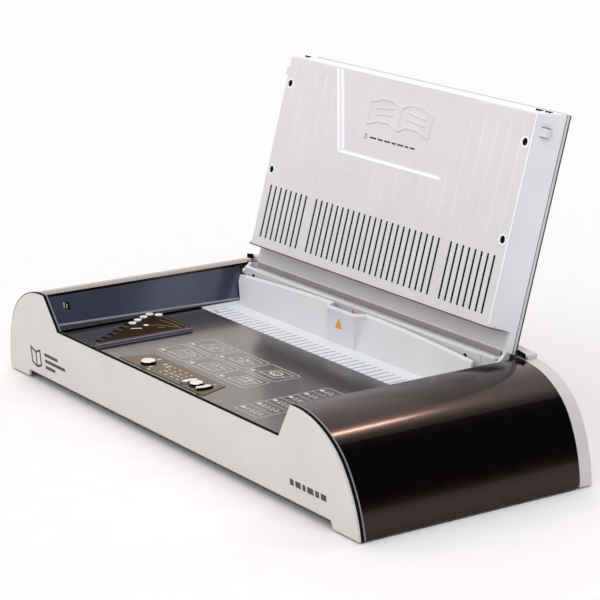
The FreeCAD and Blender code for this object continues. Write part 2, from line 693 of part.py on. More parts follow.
def make_rear_guide():
    """The fixed wall behind the slot, with a foot and screw holes near its ends."""
    body = new_body("RearWall")
    section = new_sketch(body, "RearWallSection", "YZ_Plane", "-rear_wall_half")
    front, rear = "rear_wall_front", "rear_wall_front + rear_wall_thick"
    draw_polygon(section, [
        (front, 6), (f"{rear} + 8", 6), (f"{rear} + 8", 8), (rear, 8), (rear, "rear_wall_top - 1"),
        (f"{rear} - 0.8", "rear_wall_top"), (f"{front} + 0.8", "rear_wall_top"),
        (front, "rear_wall_top - 1")])
    pad(body, "RearWallPad", section, "2 * rear_wall_half")
    for side in (-1, 1):
        edge, foot = f"{side} * (rear_wall_half + 1)", f"{side} * rear_wall_foot_half"
        outline = new_sketch(body, f"RearWallEnd{side + 1}", "XZ_Plane", "-rear_wall_front + 1")
        corners = [(foot, 5), (foot, 53), (f"{side} * rear_wall_half", 70), (edge, 70), (edge, 5)]
        draw_polygon(outline, corners if side > 0 else corners[::-1])
        pocket_out(body, f"RearWallEndCut{side + 1}", outline, "rear_wall_thick + 12")
    tools = []
    for x in (-164.0, 141.5):
        tools.append(rod(f"RearWallHole{len(tools)}", (x, "rear_wall_front - 5", 77.0), 1.9, 20, "y"))
    for x in ("-rear_wall_foot_half", "rear_wall_foot_half - 9"):
        tools.append(block(f"RearWallNotch{len(tools)}", (x, "rear_wall_front - 1", 8), (9, 7, 40)))
    tools.append(block("RearWallStep", (160.5, "rear_wall_front - 1", 60), (20, 1.5, 30)))
    keep(cut("RearGuide", body, *tools), "rear_guide")


def make_heater():
    """The heated floor of the slot, its element, insulating feet, thermostat and fuse."""
    d = dims
    low = d.heater_top - d.heater_thick
    keep(block(
        "HeaterPlate", ("-heater_half", "heater_front", "heater_top - heater_thick"),
        ("2 * heater_half", "heater_rear - heater_front", "heater_thick")), "heater_plate")
    strips = []
    for n in range(4):
        strips.append(block(f"Element{n}", (-150 + n * 76, 173, low - 2.5), (70, 12, 2.5)))
    keep(group("HeatingElements", strips), "heating_elements")
    keep(block("ElementClamp", (-155, 172, low - 4), (310, 14, 1.5)), "element_clamp")
    feet = []
    for x in (-150, -4, 142):
        feet.append(block(f"Insulator{len(feet)}", (x, 170, 6), (8, 18, low - 10)))
    keep(group("HeaterInsulators", feet), "heater_insulators")
    body = rod("ThermostatBody", (60, 179, low - 12), 8, 8)
    tabs = block("ThermostatTabs", (50, 177, low - 12.8), (20, 4, 0.8))
    keep(join("Thermostat", body, tabs), "thermostat")
    keep(rod("ThermalFuse", (-90, 179, low - 7), 2.8, 30, "x"), "thermal_fuse")


# ---------------------------------------------------------------- electrics

def make_electrics():
    """Power board, transformer, relay, buzzer, inlet and the lid's safety switch."""
    keep(block("PowerBoard", (140, 30, 12), (80, 90, 1.6)), "power_board")
    posts = []
    for x in (145, 215):
        for y in (35, 115):
            posts.append(rod(f"PowerPost{len(posts)}", (x, y, 6), 3, 6))
    keep(group("PowerBoardPosts", posts), "power_board_posts")
    core = block("TransformerCore", (150, 40, 13.6), (34, 28, 28))
    coil = block("TransformerCoil", (154, 36, 19), (26, 36, 17))
    keep(join("Transformer", core, coil), "transformer")
    keep(block("Relay", (196, 44, 13.6), (16, 20, 15)), "relay")
    keep(rod("Buzzer", (160, 100, 13.6), 6, 9), "buzzer")
    body = block("InletBody", ("inlet_x - 13.6", "rear_face - 22", 18.4), (27.2, 22, 19.2))
    mouth = block("InletMouth", ("inlet_x - 11", "rear_face - 14", 21), (22, 15, 14))
    shell = cut("InletShell", body, mouth)
    pins = []
    for shift, z in ((-6, 25), (4, 25), (-1, 30)):
        low = (f"inlet_x + {shift}", "rear_face - 15", z)
        pins.append(block(f"InletPin{len(pins)}", low, (2, 11, 2)))
    keep(join("PowerInlet", shell, *pins), "power_inlet")
    keep(block("LidSwitch", (-207, 4, 66), (19, 16, 10)), "lid_switch")
    keep(block("LidSwitchBracket", (-207, 7, 6), (3, 12, 60)), "lid_switch_bracket")


# ---------------------------------------------------------------- hinge

def make_hinges():
    """Steel pins through the lid's lugs, held by a bracket inside each end cover."""
    pins = []
    for side, name in ((-1, "Left"), (1, "Right")):
        start = "lug_inner - 0.3" if side > 0 else "-pin_end"
        pins.append(rod(
            f"HingePin{name}", (start, "hinge_y", "hinge_z"), "hinge_pin / 2",
            "pin_end - lug_inner + 0.3", "x"))
        x = 190.5 if side > 0 else -199.5
        post = block(f"HingePost{name}", (x, "hinge_y - 8", 6), (9, 16, 68))
        cap = block(f"HingeCap{name}", (x, "hinge_y - 5", 73), (9, 10, 8))
        bore = rod(f"HingeBore{name}", (x - 1, "hinge_y", "hinge_z"), "hinge_pin / 2", 11, "x")
        bracket = cut(f"HingeBracket{name}", join(f"HingeStand{name}", post, cap), bore)
        keep(bracket, f"hinge_bracket_{name.lower()}")
    keep(group("HingePins", pins), "hinge_pins")


# ---------------------------------------------------------------- lid

def make_lid_cover():
    """The painted outer cover with a tail that swings behind the slot, and its white backing rim."""
    d = dims
    back = -d.skin_depth
    outline = [
        (-d.tail_half, d.tail_end), (d.tail_half, d.tail_end), (d.tail_half, d.shoulder - 4),
        (d.lid_half, d.shoulder), (d.lid_half, d.lid_top), (-d.lid_half, d.lid_top),
        (-d.lid_half, d.tray_foot), (-d.tail_half, d.tray_foot)]
    cover = solid_prism(outline, "xy", back, d.skin_thick)
    tail = solid_box((-d.tail_half, d.tail_half), (d.tail_end, d.shoulder - 4), (back, back + 2.4))
    cover = cover.fuse(tail).removeSplitter()
    outer = [e for e in cover.Edges if e.BoundBox.ZMax < back + 0.01 and e.Length > 3]
    keep(coded("LidOuterCover", cover.makeFillet(d.edge_round, outer), in_lid=True), "lid_outer_cover")

    body = new_body("LidBacking", in_lid=True)
    for name, inset, notch, foot, low, deep, make in (
            ("Outer", 0.3, "0.3 - tail_half", "shoulder + 0.3", "skin_thick - skin_depth",
             "rim_depth - skin_thick", pad),
            ("Inner", 3.0, "-tail_half - 1", "shoulder - 1", "rim_depth - skin_depth",
             "rim_depth - skin_thick - 0.8", pocket_out)):
        outline = new_sketch(body, f"Backing{name}", "XY_Plane", low)
        left, right, top = f"{inset} - lid_half", f"lid_half - {inset}", f"lid_top - {inset}"
        step = f"tray_foot + {inset}"
        draw_polygon(outline, [
            (notch, foot), (right, foot), (right, top), (left, top), (left, step), (notch, step)])
        make(body, f"Backing{name}Step", outline, deep)
    keep(body, "lid_backing")


def tray_ring(shrink, z):
    """The lid tray's outline at a level, shrunk inwards."""
    d = dims
    base = d.rim_depth + d.reveal
    share = (z + d.skin_depth - base) / (d.lid_thick - base)
    half = d.lid_half - (d.lid_half - d.lid_inner_half) * share - shrink
    top = d.lid_top - (d.lid_top - d.lid_inner_top) * share - shrink
    foot = d.shoulder + shrink
    return [(-half, foot, z), (half, foot, z), (half, top, z), (-half, top, z)]


def recessed_panel(face):
    """The bevelled trapezoid that is sunk into the tray's face and runs out at its top."""
    d = dims
    foot, head = d.panel_foot, d.lid_inner_top + 6
    slope = (d.panel_head_half - d.panel_foot_half) / (d.lid_inner_top - foot)
    share = d.panel_foot_bevel / d.panel_bevel

    def ring(inset, z):
        low = d.panel_foot_half + (slope * share - 1) * inset
        high = d.panel_foot_half + slope * (head - foot) - inset
        near = foot + share * inset
        return [(-low, near, z), (low, near, z), (high, head, z), (-high, head, z)]

    return frustum(ring(d.panel_bevel, face - d.panel_depth), ring(-d.panel_bevel, face + d.panel_depth))


def make_lid_tray():
    """The inner tray: sloping flanks, a flat face with slots, and a recess over the slot's walls."""
    d = dims
    low, high = -d.skin_depth + d.rim_depth + d.reveal, -d.skin_depth + d.lid_thick
    body = frustum(tray_ring(0, low), tray_ring(0, high))
    body = body.makeFillet(d.edge_round * 1.6, [e for e in body.Edges if e.BoundBox.ZMax > low + 1])
    hollow = frustum(tray_ring(d.lid_wall, low - 1), tray_ring(d.lid_wall, high - d.lid_wall))
    floor, edge = -d.skin_depth + d.recess_depth, -d.skin_depth + d.recess_edge
    flat, side, skin = d.recess_flat, d.recess_half, 1.8
    section = [
        (-flat, floor), (-side, edge), (-side - 20, edge), (-side - 20, 40),
        (side + 20, 40), (side + 20, edge), (side, edge), (flat, floor)]
    recess = solid_prism(section, "xz", -40, d.tray_foot + 40)
    above_recess = solid_box((-200, 200), (d.tray_foot + d.lid_wall, 400), (-40, 40))
    tray = body.cut(recess).cut(hollow.common(above_recess))
    slab = [
        (-side, edge - skin), (-flat, floor - skin), (flat, floor - skin), (side, edge - skin),
        (side, edge), (flat, floor), (-flat, floor), (-side, edge)]
    below = [
        (-side, -20), (side, -20), (side, edge - skin), (flat, floor - skin), (-flat, floor - skin),
        (-side, edge - skin)]
    under = solid_prism(below, "xz", d.shoulder + d.lid_wall, d.tray_foot - d.shoulder)
    plate = solid_prism(slab, "xz", d.shoulder, d.tray_foot + d.lid_wall - d.shoulder)
    wall = solid_box(
        (-flat, flat), (d.tray_foot, d.tray_foot + d.lid_wall), (floor - skin, high - d.lid_wall))
    lip = solid_box((-flat, flat), (d.shoulder - 1.6, d.shoulder + 0.4), (floor - skin, floor + 1.4))
    left_notch = solid_box((-200, -d.tail_half), (-40, d.tray_foot), (-40, 40))
    tray = tray.cut(under).fuse(plate).fuse(wall).fuse(lip).cut(left_notch)
    tools = []
    for n in range(-20, 21):
        if abs(n) == 12:
            continue
        x = n * d.slot_pitch
        tools.append(solid_box(
            (x - d.slot_width / 2, x + d.slot_width / 2), (d.slot_foot, d.slot_head), (0, 20)))
    tray = tray.cut(Part.makeCompound(tools)).cut(recessed_panel(high))
    for x, y in screw_places():
        boss = Part.makeCylinder(5.0, high - 3.0, FreeCAD.Vector(x, y, 2.5), Z_AXIS)
        well = Part.makeCylinder(3.1, high, FreeCAD.Vector(x, y, 4.0), Z_AXIS)
        tray = tray.fuse(boss).cut(well)
    for side_sign in (-1, 1):
        x = sorted((side_sign * d.lug_inner, side_sign * d.lug_outer))
        lug = Part.makeCylinder(d.hinge_lug / 2, x[1] - x[0], FreeCAD.Vector(x[0], 0, 0), X_AXIS)
        reach = d.shoulder + 3
        outline = [
            (-2.2, -2.0), (-1.5, -4.5), (1.0, floor - skin + 0.4), (reach, floor - skin + 0.4),
            (reach, edge), (d.shoulder - 1, edge), (2.4, 1.2), (0, 0)]
        web = solid_prism(outline, "yz", x[0], x[1] - x[0]).fuse(lug)
        if side_sign < 0:
            outer_part = solid_box((-200, -d.tail_half), (d.shoulder - 1.5, 40), (-20, 20))
            bridge = solid_box(
                (x[0], 8 - d.tail_half), (4.0, d.shoulder - 1.5), (floor - skin + 0.4, floor - 0.4))
            web = web.cut(outer_part).fuse(bridge)
        bore = Part.makeCylinder(
            d.hinge_pin / 2 + d.bush_wall, 30, FreeCAD.Vector(x[0] - 10, 0, 0), X_AXIS)
        tray = tray.fuse(web.cut(bore))
    keep(coded("LidInnerTray", tray.removeSplitter(), in_lid=True), "lid_inner_tray")


def screw_places():
    """Where the four screws stand in the tray's face."""
    return [(x, y) for x in (-162.0, 162.0) for y in (96.0, 174.0)]


def make_lid_fittings():
    """Bushes in the lugs, screws in the tray, and the pegs that work the switch and catch."""
    d = dims
    bushes, pegs = [], []
    for side, name in ((-1, "Left"), (1, "Right")):
        start = "lug_inner" if side > 0 else "-lug_outer"
        outer = rod(
            f"Bush{name}Outer", (start, 0, 0), "hinge_pin / 2 + bush_wall", "lug_outer - lug_inner",
            "x", local=True)
        inner = rod(
            f"Bush{name}Bore", (f"{start} - 1", 0, 0), "hinge_pin / 2 + 0.05",
            "lug_outer - lug_inner + 2", "x", local=True)
        bushes.append(cut(f"Bush{name}", outer, inner))
        tip = d.peg_tip if side > 0 else d.peg_tip_left
        reach = sorted((side * 170.0, side * tip))
        pegs.append(solid_box(reach, (180.5, 187.5), (1.5, 5.5)))
    tray = [p for p in sub_parts if p.Label == "lid_inner_tray"][0]
    resting = tray.Shape.copy()
    resting.Placement = FreeCAD.Placement()
    pegs = [peg.cut(resting) for peg in pegs]
    pegs = [max(peg.Solids, key=lambda s: abs(s.CenterOfMass.x)) for peg in pegs]
    screws = []
    for x, y in screw_places():
        screws.append(rod(f"LidScrew{len(screws)}", (x, y, 4.0), 2.8, 1.6, local=True))
    for name, label, items in (
            ("HingeBushes", "hinge_bushes", bushes), ("LidScrews", "lid_screws", screws)):
        node = group(name, items)
        node.Placement = LID_PLACE
        keep(node, label)
    keep(coded("LidPegs", Part.makeCompound(pegs), in_lid=True), "lid_pegs")


def write_parts():
    """Check every object, then write each sub-part to its own STEP file."""
    doc.recompute()
    for item in doc.Objects:
        if "Invalid" in item.State or "Error" in item.State:
            raise RuntimeError(f"{item.Label} failed: {item.State}")
    os.makedirs("parts", exist_ok=True)
    for item in sub_parts:
        shape = item.Shape
        if shape.isNull() or not shape.isValid():
            raise RuntimeError(f"{item.Label} has no valid shape")
        shape.exportStep(f"parts/{item.Label}.step")
        box = shape.BoundBox
        print(f"{item.Label:22s} solids {len(shape.Solids):3d} volume {shape.Volume / 1000:9.2f} cm3"
              f"  x {box.XMin:7.1f} {box.XMax:7.1f}  y {box.YMin:7.1f} {box.YMax:7.1f}"
              f"  z {box.ZMin:6.1f} {box.ZMax:6.1f}")


make_base_pan()
make_feet()
make_case_screws()
make_front_panel()
make_end_covers()
make_rear_cover()
make_deck()
make_keys()
make_control_board()
make_gauge()
make_front_guide()
make_guide_slides()
make_rear_guide()
make_heater()
make_electrics()
make_hinges()
make_lid_cover()
make_lid_tray()
make_lid_fittings()
write_parts()
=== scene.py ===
import json
import math

import bmesh
import bpy
from mathutils import Matrix, Vector


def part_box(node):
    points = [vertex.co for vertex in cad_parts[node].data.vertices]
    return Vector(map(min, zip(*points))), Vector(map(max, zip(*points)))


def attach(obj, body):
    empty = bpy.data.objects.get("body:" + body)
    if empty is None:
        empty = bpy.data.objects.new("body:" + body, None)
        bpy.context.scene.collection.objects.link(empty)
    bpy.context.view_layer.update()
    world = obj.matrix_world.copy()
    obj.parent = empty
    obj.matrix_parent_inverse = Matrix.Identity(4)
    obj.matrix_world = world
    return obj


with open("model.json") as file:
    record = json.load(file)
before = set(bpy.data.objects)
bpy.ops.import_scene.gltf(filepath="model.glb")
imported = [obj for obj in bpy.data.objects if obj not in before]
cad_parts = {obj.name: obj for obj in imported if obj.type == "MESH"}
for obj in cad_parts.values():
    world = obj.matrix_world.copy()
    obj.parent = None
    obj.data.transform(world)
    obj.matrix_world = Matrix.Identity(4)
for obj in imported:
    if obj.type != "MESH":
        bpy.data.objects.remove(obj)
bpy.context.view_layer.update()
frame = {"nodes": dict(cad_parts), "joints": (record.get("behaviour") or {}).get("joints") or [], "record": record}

MM = 0.001
# The machine's own frame, in millimetres: X to the right, Y to the rear from the front panel's bottom
# edge, Z up from the covers' bottom edges. DATUM is where it starts in the part's frame.
DATUM = Vector((0.0, -125.2, 1.5))
MACHINE = Matrix.Scale(MM, 4) @ Matrix.Translation(DATUM)
PANEL_LEAN = math.radians(5.29)
FRONT = MACHINE @ Matrix.Rotation(math.radians(90) + PANEL_LEAN, 4, "X")


def limits(node):
    """A CAD node's lowest and highest corners at rest, in the machine's frame."""
    return [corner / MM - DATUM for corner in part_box(node)]


DECK_LOW, DECK_HIGH = limits("deck_panel")
GAUGE_LOW, GAUGE_HIGH = limits("gauge_plate")
GUIDE_LOW, GUIDE_HIGH = limits("front_guide")
REAR_LOW, REAR_HIGH = limits("rear_guide")
DECK, GAUGE_TOP, LEDGE_TOP = DECK_HIGH.z, GAUGE_HIGH.z, 52.4
LABEL_TOP = limits("control_label")[1].z
CREST = limits("right_end_cover")[1].z
RIDGE_FACE = limits("rear_cover")[0].y

# The lid's own frame: X to the right, Y up the lid from the hinge, Z out of its inner face.
LID_LEAN = 15.1
HINGE = Vector(next(j["pos_m"] for j in frame["joints"] if j["name"] == "lid_hinge"))
LID = (Matrix.Translation(HINGE) @ Matrix.Rotation(math.radians(90 - LID_LEAN), 4, "X")
       @ Matrix.Scale(MM, 4))
LID_HALF = limits("lid_inner_tray")[1].x
LID_BACK = -11.1
LID_FACE = 9.2
TRAY_BACK = -6.2
TAIL_SPAN = (-172.6, 173.6)


# ---------------------------------------------------------------- materials

def link(tree, source, target):
    tree.links.new(source, target)


def texture(tree, kind, coords, scale, **settings):
    """A texture node on the object's own coordinates, with a scale per metre."""
    node = tree.nodes.new(kind)
    node.inputs["Scale"].default_value = scale
    for name, value in settings.items():
        node.inputs[name].default_value = value
    link(tree, coords.outputs["Object"], node.inputs["Vector"])
    return node


def blend_colors(tree, factor, low, high):
    """A colour that goes from low to high over the middle of the factor's range."""
    ramp = tree.nodes.new("ShaderNodeValToRGB")
    ramp.color_ramp.elements[0].position = 0.3
    ramp.color_ramp.elements[1].position = 0.7
    ramp.color_ramp.elements[0].color = (*low, 1)
    ramp.color_ramp.elements[1].color = (*high, 1)
    link(tree, factor, ramp.inputs["Fac"])
    return ramp.outputs["Color"]


def remap(tree, value, low, high):
    """A value from 0 to 1 spread over another range."""
    node = tree.nodes.new("ShaderNodeMapRange")
    node.inputs["To Min"].default_value = low
    node.inputs["To Max"].default_value = high
    link(tree, value, node.inputs["Value"])
    return node.outputs["Result"]


def finish_material(name, color, roughness, spread=0.05, mottle=0.03, patch=35.0, grain=0.08,
                    grain_scale=1400.0, flakes=None, **sockets):
    """A surface with uneven colour and roughness, a fine grain in its relief, and flakes if painted."""
    material = bpy.data.materials.new(name)
    material.use_nodes = True
    tree = material.node_tree
    shader = tree.nodes["Principled BSDF"]
    for socket, value in sockets.items():
        shader.inputs[socket.replace("_", " ")].default_value = value
    coords = tree.nodes.new("ShaderNodeTexCoord")
    cloud = texture(tree, "ShaderNodeTexNoise", coords, patch, Detail=4.0)
    if flakes:
        cells = texture(tree, "ShaderNodeTexVoronoi", coords, 1600.0)
        low, high, source = color, flakes, cells.outputs["Distance"]
    else:
        low = tuple(c * (1 - mottle) for c in color)
        high = tuple(min(1, c * (1 + mottle)) for c in color)
        source = cloud.outputs["Fac"]
    link(tree, blend_colors(tree, source, low, high), shader.inputs["Base Color"])
    link(tree, remap(tree, cloud.outputs["Fac"], roughness - spread, roughness + spread),
         shader.inputs["Roughness"])
    fine = texture(tree, "ShaderNodeTexNoise", coords, grain_scale, Detail=2.0)
    bump = tree.nodes.new("ShaderNodeBump")
    bump.inputs["Strength"].default_value = grain
    bump.inputs["Distance"].default_value = 0.0002
    link(tree, fine.outputs["Fac"], bump.inputs["Height"])
    link(tree, bump.outputs["Normal"], shader.inputs["Normal"])
    return material


WHITE = finish_material("white_plastic", (0.745, 0.725, 0.735), 0.40, grain=0.10)
# Bright white: the gauge's white buttons are this colour, and so are the painted highlights on rims, edges, slopes
# and the lid's top flank.
WHITE_AND_HIGHLIGHT = finish_material("white_and_painted_highlight", (0.97, 0.97, 0.98), 0.30, mottle=0.01, grain=0.04)
# Painted shade for the lip behind the lid's top flank and the inside of its recess.
PAINTED_SHADE = finish_material("painted_shade_plastic", (0.66, 0.64, 0.63), 0.5)
# Painted light: the ledge's upward face and its end step, lighter and bluer than the guide's white plastic.
LEDGE_LIGHT = finish_material("ledge_painted_light", (0.84, 0.86, 0.90), 0.4)
# Painted highlight: the lid's ribs, lighter than the tray they stand on.
RIB = finish_material("rib_painted_highlight", (0.84, 0.83, 0.85), 0.36)
WARM = finish_material("warm_grey_plastic", (0.655, 0.630, 0.605), 0.42, grain=0.12)
BRONZE = finish_material(
    "bronze_paint", (0.008, 0.0045, 0.0035), 0.22, flakes=(0.046, 0.025, 0.018), grain=0.03,
    Metallic=1.0, Coat_Weight=0.9, Coat_Roughness=0.13, Coat_IOR=1.32)
# Painted reflection: the cool tint that the left inner wall's face shows; the cover is the same bronze paint.
BRONZE_PAINTED_REFLECTION = finish_material(
    "bronze_with_painted_cool_reflection", (0.050, 0.058, 0.086), 0.22, flakes=(0.085, 0.096, 0.140), grain=0.03,
    Metallic=0.45, Coat_Weight=0.9, Coat_Roughness=0.13, Coat_IOR=1.32)
FILM = finish_material("label_film", (0.17, 0.125, 0.075), 0.45, mottle=0.06, IOR=1.32)
BROWN = finish_material("gauge_film", (0.028, 0.011, 0.002), 0.5, mottle=0.08, IOR=1.09)
SLATE = finish_material("slate_plastic", (0.115, 0.12, 0.155), 0.4, IOR=1.3)
SILVER = finish_material("silver_keys", (0.82, 0.82, 0.82), 0.16, mottle=0.02, grain=0.03, Metallic=0.95)
STEEL = finish_material("steel", (0.60, 0.60, 0.61), 0.32, grain_scale=700.0, Metallic=1.0)
DARK = finish_material("dark_plastic", (0.020, 0.022, 0.022), 0.5, mottle=0.1)
# Painted shadow: near black for gaps, holes, openings, wells and the dark spots and bands where only shade falls.
PAINTED_SHADOW = finish_material("painted_shadow_black", (0.006, 0.008, 0.006), 0.8, mottle=0.1, IOR=1.1)
# Painted shade along the lid's grooves and under its edges.
GROOVE_SHADE = finish_material("groove", (0.16, 0.14, 0.12), 0.7, IOR=1.2)
# Painted shade on the bend of the lid's lower lip.
BEND_SHADE = finish_material("painted_bend_shade", (0.34, 0.32, 0.30), 0.7, IOR=1.2)
# Painted highlight along edges: the covers' front edges, the deck's front edge, the gauge's long side and the left
# inner wall's foot.
EDGE_HIGHLIGHT = finish_material("painted_edge_highlight", (0.27, 0.255, 0.31), 0.45)
PAN = finish_material("dark_pan", (0.055, 0.055, 0.060), 0.6, mottle=0.1, grain=0.3, grain_scale=900.0)
RUBBER = finish_material("rubber", (0.018, 0.018, 0.018), 0.75, mottle=0.15, grain=0.35, grain_scale=800.0)
REAR = finish_material("rear_plastic", (0.66, 0.625, 0.605), 0.42, grain=0.10)
GREY = finish_material("grey_plastic", (0.42, 0.43, 0.45), 0.5)
ALUMINIUM = finish_material("aluminium", (0.72, 0.73, 0.74), 0.36, grain_scale=500.0, Metallic=1.0)
CERAMIC = finish_material("ceramic", (0.72, 0.70, 0.64), 0.62, mottle=0.05, grain=0.2)
BOARD = finish_material("circuit_board", (0.03, 0.16, 0.07), 0.35, mottle=0.2, patch=300.0)
LENS = finish_material("lamp_lens", (0.78, 0.70, 0.52), 0.18, Transmission_Weight=0.3)
INK_LIGHT = finish_material("light_ink", (0.72, 0.68, 0.63), 0.45)
INK_DARK = finish_material("dark_ink", (0.035, 0.035, 0.036), 0.5)
ORANGE = finish_material("orange_ink", (0.88, 0.32, 0.06), 0.5)
# Painted highlight with a bluish sheen, for the middle of the sunk panel's slope.
SLOPE_SHEEN = finish_material("painted_bluish_sheen", (0.74, 0.79, 0.90), 0.35)
PALE = finish_material("pale_print", (0.72, 0.68, 0.66), 0.4)
TAN = finish_material("tan_ink", (0.30, 0.20, 0.12), 0.4)

BY_SLOT = {
    "dark_pan": PAN, "rubber": RUBBER, "steel": STEEL, "warm_grey": WARM, "bronze": BRONZE,
    "white": WHITE, "label_film": FILM, "silver": SILVER, "circuit_board": BOARD,
    "dark_plastic": DARK, "lamp": LENS, "grey_plastic": GREY, "brown_film": BROWN,
    "aluminium": ALUMINIUM, "ceramic": CERAMIC}
OWN_FINISH = {"gauge_plinth": SLATE, "lid_screws": DARK, "rear_cover": REAR}

for entry in frame["record"]["subparts"]:
    node = frame["nodes"][entry["node"]]
    node.data.materials.clear()
    node.data.materials.append(OWN_FINISH.get(entry["node"], BY_SLOT[entry["material_slot"]]))


# ---------------------------------------------------------------- making pieces

def add(name, mesh_maker, place, material, body, smooth=False):
    """Make a piece from a bmesh filled in millimetres, put it in its place and let it ride."""
    bm = bmesh.new()
    mesh_maker(bm)
    bmesh.ops.recalc_face_normals(bm, faces=bm.faces)
    mesh = bpy.data.meshes.new(name)
    bm.to_mesh(mesh)
    bm.free()
    mesh.transform(place)
    if smooth:
        mesh.shade_smooth()
    mesh.materials.append(material)
    item = bpy.data.objects.new(name, mesh)
    bpy.context.scene.collection.objects.link(item)
    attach(item, body)


def loft(bm, rings, closed=False):
    """Walls from each ring of points to the next, with flat ends unless the last ring joins the first."""
    loops = [[bm.verts.new(point) for point in ring] for ring in rings]
    pairs = list(zip(loops, loops[1:]))
    if closed:
        pairs.append((loops[-1], loops[0]))
    else:
        bm.faces.new(loops[0])
        bm.faces.new(list(reversed(loops[-1])))
    for near, far in pairs:
        for k in range(len(near)):
            j = (k + 1) % len(near)
            bm.faces.new((near[k], near[j], far[j], far[k]))


def prism(bm, points, low, high):
    """A closed prism over a flat outline."""
    loft(bm, [[(x, y, z) for x, y in points] for z in (low, high)])


def solid(bm, x, y, z):
    """A box between pairs of limits."""
    prism(bm, [(x[0], y[0]), (x[1], y[0]), (x[1], y[1]), (x[0], y[1])], z[0], z[1])


def plate(points, y):
    """A thin upright plate that faces the front, with an outline in X and Z."""
    def make(bm):
        loft(bm, [[(x, depth, z) for x, z in points] for depth in (y - 0.08, y + 0.12)])

    return make


def oval(x, y, rx, ry, steps=20):
    """An oval's outline, counter-clockwise."""
    return [
        (x + rx * math.cos(2 * math.pi * n / steps), y + ry * math.sin(2 * math.pi * n / steps))
        for n in range(steps)]


def rounded(x0, y0, x1, y1, r, steps=4):
    """A rectangle's outline with rounded corners, counter-clockwise."""
    points = []
    corners = ((x1 - r, y0 + r, -90), (x1 - r, y1 - r, 0), (x0 + r, y1 - r, 90), (x0 + r, y0 + r, 180))
    for cx, cy, start in corners:
        for n in range(steps + 1):
            a = math.radians(start + 90 * n / steps)
            points.append((cx + r * math.cos(a), cy + r * math.sin(a)))
    return points


def stroke(bm, points, width, low, high, closed=False):
    """A flat line of even width along points, with mitred corners."""
    pts = [Vector(p) for p in points]
    count = len(pts)
    left, right = [], []
    for i, p in enumerate(pts):
        before = pts[i - 1] if (closed or i > 0) else None
        after = pts[(i + 1) % count] if (closed or i < count - 1) else None
        d1 = (p - before).normalized() if before is not None else (after - p).normalized()
        d2 = (after - p).normalized() if after is not None else d1
        n1, n2 = Vector((-d1.y, d1.x)), Vector((-d2.y, d2.x))
        m = (n1 + n2).normalized()
        reach = width / 2 / max(0.35, m.dot(n1))
        left.append(p + m * reach)
        right.append(p - m * reach)
    loft(bm, [
        [(l.x, l.y, low), (r.x, r.y, low), (r.x, r.y, high), (l.x, l.y, high)]
        for l, r in zip(left, right)], closed)


def ridge(bm, start, end, radius, height, base, around=8):
    """A low half-round rib between two points, with rounded ends."""
    start, end = Vector(start), Vector(end)
    along = (end - start).normalized()
    side = Vector((-along.y, along.x))
    stations = [(start, angle) for angle in (-90, -60, -30, 0)]
    stations += [(end, angle) for angle in (0, 30, 60, 90)]
    rings = []
    for centre, angle in stations:
        a = math.radians(angle)
        reach, scale = math.sin(a) * radius, max(math.cos(a), 0.02)
        ring = []
        for n in range(around + 1):
            t = math.pi * n / around
            flat = centre + along * reach + side * (math.cos(t) * radius * scale)
            ring.append((flat.x, flat.y, base + math.sin(t) * height * scale))
        rings.append(ring)
    loft(bm, rings)


# ---------------------------------------------------------------- deck prints

PRINT_LOW, PRINT_HIGH = DECK + 0.02, DECK + 0.08
FRAME_WIDE, FRAME_DEEP = 42.5, 26.0


def draw(bm, points, width=0.5, closed=False):
    """A printed line on the deck, a third wider than its nominal width, as ink spreads."""
    stroke(bm, points, width * 1.35, PRINT_LOW, PRINT_HIGH, closed)


def number_pill(bm, x, y):
    """The pill that stands for a number."""
    prism(bm, rounded(x - 2.6, y - 1.6, x + 2.6, y + 1.6, 1.5), PRINT_LOW, DECK + 0.10)


def low_pictogram(bm, cx, cy):
    """An open tray with sheets in it."""
    draw(bm, [(cx - 11, cy - 8), (cx + 12, cy - 8), (cx + 15, cy + 3), (cx - 8, cy + 3)], 0.6, True)
    draw(bm, [(cx - 8, cy + 3), (cx - 8, cy + 8), (cx + 15, cy + 8), (cx + 15, cy + 3)])
    for n in range(5):
        draw(bm, [(cx - 5 + n * 4, cy - 6), (cx - 4 + n * 4, cy + 1)])


def high_pictogram(bm, cx, cy):
    """A folder lying open."""
    draw(bm, [(cx - 12, cy - 7), (cx + 10, cy - 7), (cx + 14, cy + 1), (cx - 8, cy + 1)], 0.6, True)
    draw(bm, [(cx - 8, cy + 1), (cx - 6, cy + 9), (cx + 15, cy + 9), (cx + 14, cy + 1)])
    draw(bm, [(cx - 3, cy - 3), (cx + 6, cy - 3)], 0.9)


def ruled_table(bm, x0, y0, x1, y1, rows=6, pitch=14.8):
    """A table with a numbered row for each line and short bars across it."""
    draw(bm, rounded(x0, y0, x1, y1, 2.0), 0.4, True)
    for n in range(rows):
        y = y0 + 6.3 + n * pitch
        number_pill(bm, x0 + 3.6, y)
        if n:
            draw(bm, [(x0, y - pitch / 2), (x1, y - pitch / 2)], 0.3)
        for k in range(1, 5):
            x = x0 + 3.6 + k * 5.9
            draw(bm, [(x, y - 2.4), (x, y + 2.4)], 0.9)
            if k > 1:
                draw(bm, [(x - 2.6, y - 4.4), (x - 2.6, y + 4.4)], 0.25)


